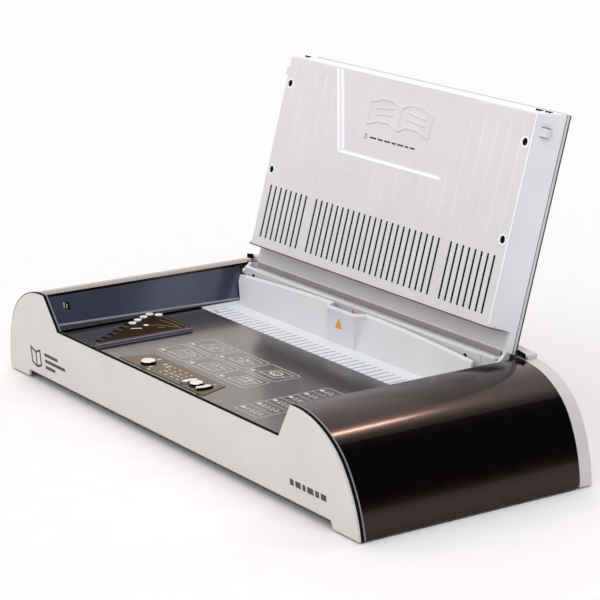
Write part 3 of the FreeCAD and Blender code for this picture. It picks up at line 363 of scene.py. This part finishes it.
def deck_prints(bm):
    """Six framed pictograms and a ruled table, all in thin light lines."""
    for column, x0 in enumerate((-78.5, -33.0, 12.5)):
        for y0, pictogram in ((39.0, low_pictogram), (68.5, high_pictogram)):
            draw(bm, rounded(x0, y0, x0 + FRAME_WIDE, y0 + FRAME_DEEP, 2.5), 0.45, True)
            number_pill(bm, x0 + 4.5, y0 + 4.2)
            cx, cy = x0 + 23.0, y0 + FRAME_DEEP / 2
            pictogram(bm, cx, cy)
            if column == 0:
                draw(bm, oval(cx + 5, cy + 3, 4.5, 3.0, 16), closed=True)
            elif column == 1:
                draw(bm, [(cx - 2, cy + 6), (cx + 3, cy + 2), (cx + 8, cy + 6)], 0.7)
            else:
                draw(bm, rounded(cx - 4, cy - 2, cx + 6, cy + 5, 1.0), 0.9, True)
    ruled_table(bm, 92.0, 6.5, 125.0, 95.0)


add("deck_prints", deck_prints, MACHINE, INK_LIGHT, "base")


def label_prints(bm):
    """Rows of dots and short marks between the keys."""
    low, high = LABEL_TOP, LABEL_TOP + 0.08
    for row, y in enumerate((7.5, 12.2, 16.9, 22.5)):
        for n in range(4):
            x = -21.5 + 8.6 * n + (3 - row) * 0.8
            prism(bm, oval(x, y, 0.95, 0.95, 12), low, high)
            if row == 1:
                prism(bm, rounded(x + 2.0, y - 0.7, x + 4.6, y + 0.7, 0.6), low, high)
    for x, y, rx, ry in ((-36.0, 8.6, 1.5, 2.4), (-34.5, 21.5, 1.3, 2.4), (-49.5, 25.0, 1.2, 2.2),
                         (-27.5, 20.4, 1.3, 3.2), (-31.5, 3.9, 1.0, 1.6), (35.0, 25.5, 1.1, 1.1)):
        prism(bm, oval(x, y, rx, ry, 16), low, high)


add("label_prints", label_prints, MACHINE, PALE, "base")


def gauge_marks(bm):
    """White buttons on the widest steps and a small arrow."""
    low, high = GAUGE_TOP, GAUGE_TOP + 0.8
    for x, y in ((-150.2, 58.4), (-156.2, 67.4), (-162.0, 76.6), (-166.8, 85.4), (-160.5, 91.0)):
        prism(bm, oval(x, y, 3.3, 3.5, 20), low, high)
    stroke(bm, [(-137.0, 49.0), (-132.5, 57.5)], 1.6, low, low + 0.1)
    prism(bm, oval(-139.0, 65.5, 2.4, 2.2, 16), low, low + 0.1)


def gauge_step_shadows(bm):
    """A spot of painted shadow at each of the narrow steps."""
    for n in range(6):
        spot = oval(-118.6 - 6.1 * n, 6.4 + 9.2 * n, 2.5, 2.6, 16)
        prism(bm, spot, GAUGE_TOP + 0.02, GAUGE_TOP + 0.6)


def gauge_lines(bm):
    """Thin tan lines: a curve beside the steps and a border along two sides."""
    low, high = GAUGE_TOP, GAUGE_TOP + 0.08
    stroke(bm, [(-137.0, 67.0), (-133.0, 75.0), (-124.0, 81.0), (-117.5, 84.0)], 0.8, low, high)
    stroke(bm, [(-147.0, 84.0), (-126.0, 86.5), (-115.0, 86.0)], 0.7, low, high)
    stroke(bm, [(-127.0, 70.0), (-124.0, 75.0)], 0.9, low, high)
    stroke(bm, [(-112.6, 1.5), (-112.6, 91.4), (-160.0, 91.4)], 0.5, low, high)


def gauge_rim(bm):
    """Painted highlights on the edges of the gauge's long side, above and at its foot."""
    edge, foot = GAUGE_HIGH.x, limits("gauge_plinth")[1].x
    depths = (GAUGE_LOW.y, GAUGE_HIGH.y)
    solid(bm, (edge - 0.1, edge + 1.0), depths, (GAUGE_TOP - 0.7, GAUGE_TOP + 0.05))
    solid(bm, (foot, foot + 0.8), depths, (DECK + 0.02, DECK + 0.3))


add("gauge_marks", gauge_marks, MACHINE, WHITE_AND_HIGHLIGHT, "base")
add("gauge_step_shadows", gauge_step_shadows, MACHINE, PAINTED_SHADOW, "base")
add("gauge_lines", gauge_lines, MACHINE, TAN, "base")
add("gauge_rim", gauge_rim, MACHINE, EDGE_HIGHLIGHT, "base")


# ---------------------------------------------------------------- keys

KEY_ROW, POWER_X, START_X = 11.4, -44.5, 29.5
ARROW_RING, ARROW_TURN = 14.44, 64.0


def key_band(x, radius, start=0.0, turn=360.0, steps=24):
    """A band of painted shade round the foot of a key, whole or over part of a turn."""
    def make(bm):
        points = []
        for n in range(steps + (turn < 360.0)):
            a = math.radians(start + turn * n / steps)
            points.append((x + radius * math.cos(a), KEY_ROW + radius * math.sin(a)))
        stroke(bm, points, 0.12, LABEL_TOP + 0.05, DECK + 2.9, closed=turn == 360.0)

    return make


for key, band in (
        ("power_key", key_band(POWER_X, 6.24)), ("start_key", key_band(START_X, 5.54)),
        ("left_arrow_key", key_band(START_X, ARROW_RING, 180.0 - ARROW_TURN / 2, ARROW_TURN)),
        ("right_arrow_key", key_band(START_X, ARROW_RING, -ARROW_TURN / 2, ARROW_TURN))):
    add(key + "_band", band, MACHINE, PAINTED_SHADOW, key)


# ---------------------------------------------------------------- seams of the case

# The end profile of the right side, which the left mirrors, in X and Z: the inner wall's foot and head,
# the X at which the level crest starts to fall, and the crown's arcs as radius, start and end angle.
WALL_FOOT, WALL_HEAD = (169.5, DECK + 0.6), (188.3, CREST)
CROWN_START = 193.7
CROWN_ARCS = ((68.5, 0.0, 42.3), (56.5, 42.3, 61.5), (116.3, 61.5, 88.0))


def crown_points(steps=9):
    """The end profile from the inner wall's foot over the crest and crown, down to the table."""
    points = [WALL_FOOT, WALL_HEAD]
    last = CROWN_ARCS[0][0]
    x, z = CROWN_START, CREST - last
    for radius, start, end in CROWN_ARCS:
        lean = math.radians(start)
        x, z = x + math.sin(lean) * (last - radius), z + math.cos(lean) * (last - radius)
        last = radius
        for n in range(steps + 1):
            a = math.radians(start + (end - start) * n / steps)
            point = (x + math.sin(a) * radius, z + math.cos(a) * radius)
            if math.dist(point, points[-1]) > 0.5:
                points.append(point)
    return points


def crown_band(left, right, lift, root=-0.4):
    """A thin band on both end covers, each between two depths behind the front panel's face."""
    def make(bm):
        profile = crown_points()
        for side, (near, far) in ((-1, left), (1, right)):
            rings = []
            for i, (x, z) in enumerate(profile):
                before, after = profile[max(0, i - 1)], profile[min(len(profile) - 1, i + 1)]
                across = Vector((before[1] - after[1], after[0] - before[0])).normalized()
                ring = []
                for reach, depth in ((root, near), (lift, near), (lift, far), (root, far)):
                    px, pz = x + across.x * reach, z + across.y * reach
                    py = depth / math.cos(PANEL_LEAN) - pz * math.tan(PANEL_LEAN)
                    ring.append((side * px, py, pz))
                rings.append(ring)
            loft(bm, rings)

    return make


def deck_gap(bm):
    """Painted shadow in the gap between the deck's front edge and the front panel."""
    solid(bm, (-171.0, 170.2), (DECK_LOW.y - 3.0, DECK_LOW.y - 0.1), (DECK + 0.2, DECK + 0.72))


def deck_edge(bm):
    """A painted highlight on the front edge of the deck."""
    across, depths = (DECK_LOW.x + 0.2, DECK_HIGH.x - 0.2), (DECK_LOW.y - 0.05, DECK_LOW.y + 1.1)
    solid(bm, across, depths, (DECK + 0.02, DECK + 0.16))


# The left inner wall: its foot in X and Z, how far out and up a millimetre along its slope goes, the
# depths its strips run between, the length of its slope, and the switch's window in it.
SLOPE_FOOT = (-169.5, DECK + 0.5)
SLOPE_OUT, SLOPE_UP = 0.549, 0.836
SLOPE_FRONT, SLOPE_REAR = -1.0, 192.0
SLOPE_HEAD = 31.9
WINDOW_DEPTHS, WINDOW_HEIGHTS = (8.5, 14.5), (17.95, 25.1)


def wall_patch(bm, corners, low, high):
    """A thin sheet on the left inner wall, between two lifts off it, over corners of depth and height."""
    loft(bm, [[
        (SLOPE_FOOT[0] - SLOPE_OUT * height + SLOPE_UP * lift, y,
         SLOPE_FOOT[1] + SLOPE_UP * height + SLOPE_OUT * lift)
        for y, height in corners] for lift in (low, high)])


def wall_sheet(bm):
    """A painted cool reflection over the face of the left inner wall, left open round the switch's window."""
    foot, head = 0.4, SLOPE_HEAD
    near, far = WINDOW_DEPTHS
    below, above = WINDOW_HEIGHTS
    front_foot, front_head = [
        4.1 - (SLOPE_FOOT[1] + SLOPE_UP * height) * math.tan(PANEL_LEAN) for height in (foot, head)]
    for corners in (
            ((front_foot, foot), (near, foot), (near, head), (front_head, head)),
            ((far, foot), (SLOPE_REAR, foot), (SLOPE_REAR, head), (far, head)),
            ((near, foot), (far, foot), (far, below), (near, below)),
            ((near, above), (far, above), (far, head), (near, head))):
        wall_patch(bm, corners, 0.02, 0.10)


def switch_lever(bm):
    """The pale lever that shows in the window of the left inner wall."""
    for y, top in (((9.5, 10.9), 76.3), ((12.7, 13.5), 74.6)):
        solid(bm, (-184.4, -183.4), y, (70.8, top))


def line_height(y):
    """How far up the left inner wall its line of painted highlight runs at a depth."""
    return 5.8 - 0.022 * y


def wall_strip(low, high):
    """A strip along the left inner wall; each of its two edges is a function of the depth."""
    def make(bm):
        front, rear = SLOPE_FRONT, SLOPE_REAR
        corners = ((front, low(front)), (front, high(front)), (rear, high(rear)), (rear, low(rear)))
        wall_patch(bm, corners, 0.02, 0.25)

    return make


# The front seams are painted shadow, and the covers' edges beside them a painted highlight.
add("front_seam_shadow", crown_band((0.4, 2.7), (2.3, 4.9), 0.35), MACHINE, PAINTED_SHADOW, "base")
add("cover_edges", crown_band((2.7, 4.1), (4.9, 6.3), 0.12), MACHINE, EDGE_HIGHLIGHT, "base")
add("deck_gap", deck_gap, MACHINE, PAINTED_SHADOW, "base")
add("deck_edge", deck_edge, MACHINE, EDGE_HIGHLIGHT, "base")
add("wall_sheet", wall_sheet, MACHINE, BRONZE_PAINTED_REFLECTION, "base")
add("switch_lever", switch_lever, MACHINE, CERAMIC, "base")
# Painted shadow at the left inner wall's foot, with a line of painted highlight above it.
add("wall_foot", wall_strip(lambda y: 0.4, lambda y: line_height(y) - 0.9), MACHINE, DARK, "base")
add("wall_line", wall_strip(lambda y: line_height(y) - 0.9, lambda y: line_height(y) + 0.9), MACHINE,
    EDGE_HIGHLIGHT, "base")

# Painted shadow in the gaps between the lid's ends and the rear cover's ridge.
for side, name in ((-1, "left"), (1, "right")):
    outline = [(side * x, z) for x, z in ((187.0, 86.6), (197.6, 85.4), (197.6, 89.6), (187.0, 91.2))]
    add(f"hinge_gap_{name}", plate(outline, RIDGE_FACE - 0.2), MACHINE, PAINTED_SHADOW, "base")
# Painted shadow in two holes of the rear guide.
for x, name in ((-164.0, "left"), (141.5, "right")):
    add(f"guide_hole_{name}", plate(oval(x, 77.0, 2.3, 2.3, 16), REAR_LOW.y), MACHINE, PAINTED_SHADOW, "base")


# ---------------------------------------------------------------- front panel marks

def bar_row(bm, x, y, widths, gap, thick, low, high):
    """Short bars of given widths in a row."""
    for width in widths:
        stroke(bm, [(x, y), (x + width, y)], thick, low, high)
        x += width + gap


def front_marks(bm):
    """A plain open book and bars at the left, a row of small bars at the right."""
    low, high = -0.02, 0.08
    x = -214.0
    for side in (-1, 1):
        stroke(bm, [(x, 13.5), (x + side * 8, 16.5), (x + side * 8, 30.0), (x, 27.0)], 2.0, low, high)
    stroke(bm, [(x, 13.5), (x, 27.0)], 2.0, low, high)
    for n, width in enumerate((24.0, 36.0, 17.0)):
        stroke(bm, [(-198.0, 28.4 - 5.8 * n), (-198.0 + width, 28.4 - 5.8 * n)], 3.0, low, high)
    bar_row(bm, 181.0, 22.5, (5.0, 7.0, 4.0, 8.0, 5.0, 7.0), 2.2, 5.0, low, high)


add("front_marks", front_marks, FRONT, INK_DARK, "base")


# ---------------------------------------------------------------- guide marks

add("pocket_mark", plate([(-17.0, 66.2), (-6.6, 66.2), (-11.8, 75.2)], 178.4), MACHINE, ORANGE, "guide")
add("rear_mark", plate([(-13.5, 77.5), (-8.5, 77.5), (-11.0, 81.4)], REAR_LOW.y), MACHINE, ORANGE, "base")

LEDGE_LEFT, LEDGE_RIGHT = -168.5, GUIDE_HIGH.x
LEDGE_SLOTS, LEDGE_MARGIN = 39, 6.0
# The guide's wall: the arch of its top edge, and how far back it leans for each millimetre of height.
ARCH_TOP, ARCH_RISE, ARCH_HALF, ARCH_MIDDLE = 82.8, 5.8, 170.0, -7.0
GUIDE_LEAN = math.tan(math.radians(15.6))


def ledge_sheet(bm):
    """Painted light on the face of the ledge, lighter as it faces up."""
    across, depths = (LEDGE_LEFT + 0.2, LEDGE_RIGHT - 0.2), (GUIDE_LOW.y + 0.2, 178.8)
    solid(bm, across, depths, (LEDGE_TOP - 0.1, LEDGE_TOP + 0.02))


def ledge_slots(bm):
    """Painted shade on the floors of the ledge's slots."""
    first, last = LEDGE_LEFT + LEDGE_MARGIN, LEDGE_RIGHT - LEDGE_MARGIN
    for n in range(LEDGE_SLOTS):
        x = first + n * (last - first) / (LEDGE_SLOTS - 1)
        solid(bm, (x - 1.05, x + 1.05), (132.2, 165.0), (LEDGE_TOP - 0.5, LEDGE_TOP + 0.08))


def ledge_mark(bm):
    """A small orange bar near the ledge's left end."""
    solid(bm, (-165.0, -154.0), (148.4, 151.6), (LEDGE_TOP, LEDGE_TOP + 0.1))


def ledge_end(bm):
    """The step between the ledge and the foot of the left inner wall, in the ledge's painted light."""
    solid(bm, (-170.2, -168.9), (141.2, 191.5), (50.5, 55.4))


def arch_height(x):
    """Top of the guide's crowned wall."""
    radius = (ARCH_HALF ** 2 + ARCH_RISE ** 2) / (2 * ARCH_RISE)
    return ARCH_TOP - radius + math.sqrt(radius ** 2 - (x - ARCH_MIDDLE) ** 2)


def guide_rims(bm):
    """Painted highlights on the top edges of the guide's wall and its pocket."""
    steps = 12
    for start, end in ((-168.0, -36.0), (16.0, 157.5)):
        rings = []
        for n in range(steps + 1):
            x = start + (end - start) * n / steps
            z = arch_height(x)
            y = 179.5 + (z - LEDGE_TOP) * GUIDE_LEAN
            rings.append([
                (x, y - 0.55, z - 1.7), (x, y + 2.3, z - 0.4), (x, y + 2.3, z + 0.15),
                (x, y - 0.3, z + 0.15)])
        loft(bm, rings)
    stroke(bm, [(-35.4, 189.4), (-29.2, 179.3), (9.2, 179.3), (15.4, 189.4)], 2.5, 81.2, 83.1)


def rear_rim(bm):
    """A painted highlight on the top edge of the fixed wall behind the slot."""
    across, depths = (REAR_LOW.x + 0.2, REAR_HIGH.x - 0.2), (REAR_LOW.y - 0.2, REAR_LOW.y + 2.5)
    solid(bm, across, depths, (REAR_HIGH.z - 1.5, REAR_HIGH.z + 0.3))


add("ledge_sheet", ledge_sheet, MACHINE, LEDGE_LIGHT, "guide")
add("ledge_end", ledge_end, MACHINE, LEDGE_LIGHT, "base")
add("ledge_slots", ledge_slots, MACHINE, GREY, "guide")
add("ledge_mark", ledge_mark, MACHINE, ORANGE, "guide")
add("guide_rims", guide_rims, MACHINE, WHITE_AND_HIGHLIGHT, "guide")
add("rear_rim", rear_rim, MACHINE, WHITE_AND_HIGHLIGHT, "base")


# ---------------------------------------------------------------- lid details

RIB_PITCH, RIB_FOOT = 15.7, 89.5
# The top of each rib, by its number from the middle: short ones under the sunk panel, long ones beside it.
RIB_TOPS = {4: 122.1, 5: 133.1, 6: 178.4, 7: 188.4}


def lid_ribs(bm):
    """Raised ribs across the tray's face, shorter under the sunk panel, with a painted highlight in their colour.
    """
    for n in range(-10, 11):
        x, top = n * RIB_PITCH, RIB_TOPS[min(7, max(4, abs(n)))]
        ridge(bm, (x, RIB_FOOT), (x, top), 0.75, 0.5, LID_FACE - 0.05)


add("lid_ribs", lid_ribs, LID, RIB, "lid", smooth=True)


# The sunk panel: where its foot is, half its width there, how far its sides splay for each millimetre up
# the lid, the width of its side slopes, and its depth.
SUNK_FOOT, SUNK_HALF, SUNK_SPLAY = 127.1, 72.5, 26.5 / 70.0
SUNK_BEVEL, SUNK_DEPTH = 8.5, 1.5
SUNK_FLOOR = LID_FACE - SUNK_DEPTH


def lid_emboss(bm):
    """A plain open book in relief on the sunk panel."""
    floor = SUNK_FLOOR - 0.05
    for side in (-1, 1):
        path = [(0, 157), (side * 12, 161.5), (side * 28, 161), (side * 42, 157),
                (side * 42, 176), (side * 28, 180), (side * 12, 180.5), (0, 176)]
        for a, b in zip(path, path[1:]):
            ridge(bm, a, b, 1.5, 1.0, floor)
        for y in (166.0, 171.5):
            ridge(bm, (side * 9, y + 2.5), (side * 34, y), 0.9, 0.7, floor)
    ridge(bm, (0, 157), (0, 176), 1.5, 1.0, floor)


add("lid_emboss", lid_emboss, LID, WHITE, "lid", smooth=True)


def lid_note(bm):
    """A row of short dark bars with a small ring, in place of printed text."""
    low, high = SUNK_FLOOR, SUNK_FLOOR + 0.08
    stroke(bm, oval(-40, 146, 1.5, 2.0, 14), 0.6, low, high, True)
    bar_row(bm, -34.0, 146, (9, 7, 8, 6, 8, 5, 6), 2.2, 1.5, low, high)


add("lid_note", lid_note, LID, INK_DARK, "lid")


def top_windows(bm):
    """Painted shade: dark boxes for the openings along the tray's top flank."""
    for x, width in ((-159.0, 4.6), (158.5, 5.6), (167.5, 1.2), (171.6, 1.5)):
        solid(bm, (x - width / 2, x + width / 2), (198.6, 200.9), (-3.4, 0.4))


SLOT_PITCH, SOLID_SLOT = 7.86, 12
WELLS = [(x, y) for x in (-162.0, 162.0) for y in (96.0, 174.0)]


def lid_slot_floors(bm):
    """Painted shade: dark floors just below the mouths of the tray's slots."""
    for n in range(-20, 21):
        if abs(n) != SOLID_SLOT:
            x = n * SLOT_PITCH
            solid(bm, (x - 1.22, x + 1.22), (35.45, 82.55), (LID_FACE - 0.9, LID_FACE - 0.35))


def well_floors(bm):
    """Painted shade: dark floors of the four screw wells."""
    for x, y in WELLS:
        prism(bm, oval(x, y, 3.05, 3.05), LID_FACE - 1.2, LID_FACE - 0.5)


def well_rings(bm):
    """A raised ring round each screw well, coloured as a painted highlight."""
    for x, y in WELLS:
        stroke(bm, oval(x, y, 3.9, 3.9, 24), 1.3, LID_FACE - 0.1, LID_FACE + 0.25, True)


def panel_slope(start, end):
    """A thin sheet of painted highlight on the sunk panel's left slope, between two shares of the slope's width.
    """
    def make(bm):
        rings = []
        for lift in (0.04, 0.14):
            ring = []
            for share, y in (
                    (start, 128.0 + 3.0 * start), (end, 128.0 + 3.0 * end), (end, 196.6), (start, 196.6)):
                x = SUNK_BEVEL * share - SUNK_HALF - SUNK_SPLAY * (y - SUNK_FOOT)
                ring.append((x, y, LID_FACE - SUNK_DEPTH * share + lift))
            rings.append(ring)
        loft(bm, rings)

    return make


def panel_foot(bm):
    """A painted highlight on the slope at the foot of the sunk panel, as wide as the light catches it."""
    head, drop, head_half = SUNK_FOOT + 2.4, 1.0, SUNK_HALF - 4.7
    section = [(SUNK_FOOT, SUNK_HALF, 0.05), (head, head_half, 0.05 - drop), (head, head_half, 0.15 - drop),
               (SUNK_FOOT, SUNK_HALF, 0.15)]
    loft(bm, [[(side * x, y, LID_FACE + z) for y, x, z in section] for side in (-1, 1)])


def lid_edges(bm):
    """A painted highlight along the rounded edge between the tray's face and its right flank."""
    ridge(bm, (168.4, 30.0), (168.4, 196.0), 0.85, 0.5, LID_FACE - 0.35)


def lid_reveal(bm):
    """Painted shade in the groove between the tray and its backing."""
    low, high = LID_BACK + 4.05, LID_BACK + 4.85
    for side in (-1, 1):
        foot = 11.0 if side > 0 else 28.0
        across = sorted((side * (LID_HALF - 1.7), side * (LID_HALF - 0.05)))
        solid(bm, across, (foot, 200.6), (low, high))
    solid(bm, (-184.5, 184.5), (199.6, 201.15), (low, high))


def lid_rim_line(bm):
    """The dark edge of the outer cover, seen past the backing."""
    across, heights = (LID_HALF - 0.2, LID_HALF + 0.25), (LID_BACK + 0.5, LID_BACK + 1.4)
    solid(bm, across, (11.0, 200.8), heights)


def top_line(bm):
    """A grey line of painted shade on the lip behind the tray's top flank."""
    solid(bm, (-152.0, 184.8), (200.9, 202.0), (TRAY_BACK - 0.4, TRAY_BACK + 0.1))


def recess_liner(bm):
    """Painted shade inside the recess, darker than the tray."""
    solid(bm, (-172.6, 172.6), (12.4, 27.1), (-6.62, -6.5))


def recess_line(bm):
    """A line of painted shade under the edge where the face ends and the recess starts."""
    solid(bm, (-172.8, 172.8), (26.2, 27.35), (-6.5, 8.2))


def tail_liner(bm):
    """Painted shade on the bend of the lip that rolls down behind the slot."""
    solid(bm, TAIL_SPAN, (6.7, 10.8), (-5.2, -5.05))


def tail_lip(bm):
    """The white stretch of the lip, between the painted shade on its bend and the painted highlight on its edge.
    """
    solid(bm, TAIL_SPAN, (5.2, 6.8), (-6.6, -6.45))


def tail_edge(bm):
    """A painted highlight on the edge the lip ends in."""
    solid(bm, TAIL_SPAN, (2.9, 5.2), (-6.6, -6.45))


def top_sheet(bm):
    """A painted highlight over the face of the tray's top flank, lighter as it faces up; the flank falls back as
    it rises from the tray's back edge.
    """
    across, fall, rise = 17.0, 4.1, 15.4
    lift_y, lift_z = 0.966, 0.257
    rings = []
    for lift in (0.04, 0.14):
        ring = []
        for side, z in ((-1, -5.9), (1, -5.9), (1, 7.6), (-1, 7.6)):
            share = (z - TRAY_BACK) / rise
            ring.append((side * (184.3 - across * share), 201.2 - fall * share + lift_y * lift,
                         z + lift_z * lift))
        rings.append(ring)
    loft(bm, rings)


def peg_lines(bm):
    """Lines of painted shade above and below the right-hand peg."""
    for y in (180.1, 187.6):
        solid(bm, (173.0, 180.3), (y, y + 0.6), (2.0, 5.6))


# Most of these pieces paint light and shade onto the lid: painted shade in its openings, slot floors, wells,
# groove, recess, bend and beside the peg, and painted highlights on its well rings, sunk panel's slopes, edges,
# lip and top flank; the white lip and the outer cover's dark rim line are their own colours.
for name, maker, finish, slot in (
        ("top_windows", top_windows, PAINTED_SHADOW, "dark_plastic"),
        ("lid_slot_floors", lid_slot_floors, PAINTED_SHADOW, "dark_plastic"),
        ("well_floors", well_floors, PAINTED_SHADOW, "dark_plastic"),
        ("well_rings", well_rings, WHITE_AND_HIGHLIGHT, "white"),
        ("panel_foot", panel_foot, WHITE_AND_HIGHLIGHT, "white"),
        ("panel_step_outer", panel_slope(0.0, 0.34), WHITE_AND_HIGHLIGHT, "white"),
        ("panel_step_middle", panel_slope(0.34, 0.62), SLOPE_SHEEN, "white"),
        ("panel_step_inner", panel_slope(0.62, 1.0), WHITE_AND_HIGHLIGHT, "white"),
        ("lid_edges", lid_edges, WHITE_AND_HIGHLIGHT, "white"),
        ("lid_reveal", lid_reveal, GROOVE_SHADE, "dark_plastic"),
        ("lid_rim_line", lid_rim_line, DARK, "dark_plastic"),
        ("top_line", top_line, PAINTED_SHADE, "white"),
        ("recess_liner", recess_liner, PAINTED_SHADE, "white"),
        ("recess_line", recess_line, GROOVE_SHADE, "white"),
        ("tail_liner", tail_liner, BEND_SHADE, "white"),
        ("tail_lip", tail_lip, WHITE, "white"),
        ("tail_edge", tail_edge, WHITE_AND_HIGHLIGHT, "white"),
        ("top_sheet", top_sheet, WHITE_AND_HIGHLIGHT, "white"),
        ("peg_lines", peg_lines, GROOVE_SHADE, "white")):
    add(name, maker, LID, finish, "lid")


# ---------------------------------------------------------------- stage

SKY_LOW, SKY_HIGH = 0.92, 1.36
LEFT_SKY, RIGHT_SKY = (1.0, 0.94, 0.90), (0.94, 0.98, 1.05)
# The dark patch of the surroundings: where it starts and is whole in X and Y, where it ends in Z, how
# much of the light it takes and its colour.
PATCH_X, PATCH_Y, PATCH_TOP = (0.02, 0.26), (0.05, 0.35), (0.80, 0.93)
PATCH_SHARE, PATCH_SKY = 0.96, (0.80, 0.95, 1.15)
# The camera: its place in metres, its lens on a 36 mm sensor, and how far it looks down and is turned.
VIEW_FROM, VIEW_LENS = (1.53657, -1.04607, 0.60280), 140.4
VIEW_DOWN, VIEW_TURN = 15.04, 55.61


def add_floor():
    """The plain pale floor."""
    mesh = bpy.data.meshes.new("floor")
    bm = bmesh.new()
    bmesh.ops.create_grid(bm, x_segments=1, y_segments=1, size=12.0)
    bm.to_mesh(mesh)
    bm.free()
    floor = bpy.data.objects.new("floor", mesh)
    bpy.context.scene.collection.objects.link(floor)
    paper = finish_material("pale_floor", (0.97, 0.95, 0.93), 0.8, mottle=0.01, grain=0.0)
    mesh.materials.append(paper)


def add_crown_light():
    """A narrow warm strip, high behind the machine, that draws the highlight on the right end cover."""
    data = bpy.data.lights.new("crown_light", "AREA")
    data.shape = "RECTANGLE"
    data.size, data.size_y = 0.032, 0.15
    data.energy = 0.080
    data.spread = math.radians(50.0)
    data.color = (1.0, 0.76, 0.62)
    place, target, roll = Vector((0.240, 0.555, 1.072)), Vector((0.232, -0.05, 0.073)), 17.0
    light = bpy.data.objects.new("crown_light", data)
    light.location = place
    light.rotation_euler = (target - place).to_track_quat("-Z", "Y").to_euler()
    light.rotation_euler.rotate_axis("Z", math.radians(roll))
    bpy.context.scene.collection.objects.link(light)


def add_world():
    """Soft surroundings: brighter overhead, warm at the left, with a dark patch at the rear right."""
    world = bpy.data.worlds.new("studio")
    world.use_nodes = True
    tree = world.node_tree
    background = tree.nodes["Background"]
    coords = tree.nodes.new("ShaderNodeTexCoord")
    split = tree.nodes.new("ShaderNodeSeparateXYZ")
    link(tree, coords.outputs["Generated"], split.inputs["Vector"])

    def step(output, start, end, first, last, smooth=True):
        """A value that changes from first to last while a direction component goes start to end."""
        node = tree.nodes.new("ShaderNodeMapRange")
        if smooth:
            node.interpolation_type = "SMOOTHSTEP"
        node.inputs["From Min"].default_value = start
        node.inputs["From Max"].default_value = end
        node.inputs["To Min"].default_value = first
        node.inputs["To Max"].default_value = last
        link(tree, split.outputs[output], node.inputs["Value"])
        return node.outputs["Result"]

    def math_node(operation, first, second):
        node = tree.nodes.new("ShaderNodeMath")
        node.operation = operation
        link(tree, first, node.inputs[0])
        if isinstance(second, float):
            node.inputs[1].default_value = second
        else:
            link(tree, second, node.inputs[1])
        return node.outputs["Value"]

    corner = math_node("MULTIPLY", step("X", *PATCH_X, 0.0, 1.0), step("Y", *PATCH_Y, 0.0, 1.0))
    shaded = math_node("MULTIPLY", corner, step("Z", *PATCH_TOP, 1.0, 0.0))
    kept_light = math_node("SUBTRACT", math_node("MULTIPLY", shaded, -PATCH_SHARE), -1.0)
    rise = step("Z", 0.0, 1.0, SKY_LOW, SKY_HIGH, smooth=False)
    link(tree, math_node("MULTIPLY", kept_light, rise), background.inputs["Strength"])

    def mix_colors(factor, first, second):
        node = tree.nodes.new("ShaderNodeMix")
        node.data_type = "RGBA"
        link(tree, factor, node.inputs["Factor"])
        for name, color in (("A", first), ("B", second)):
            if isinstance(color, tuple):
                node.inputs[name].default_value = (*color, 1)
            else:
                link(tree, color, node.inputs[name])
        return node.outputs["Result"]

    across = mix_colors(step("X", -0.7, 0.5, 0.0, 1.0), LEFT_SKY, RIGHT_SKY)
    link(tree, mix_colors(corner, across, PATCH_SKY), background.inputs["Color"])
    bpy.context.scene.world = world


def add_camera():
    """The photograph's viewpoint, as fitted to the case's and the lid's straight edges."""
    data = bpy.data.cameras.new("camera")
    data.lens, data.sensor_width = VIEW_LENS, 36.0
    data.clip_end = 60.0
    camera = bpy.data.objects.new("camera", data)
    camera.location = VIEW_FROM
    camera.rotation_euler = (math.radians(90 - VIEW_DOWN), 0.0, math.radians(VIEW_TURN))
    bpy.context.scene.collection.objects.link(camera)
    bpy.context.scene.camera = camera


add_floor()
add_world()
add_crown_light()
add_camera()
bpy.context.scene.view_settings.view_transform = "Standard"
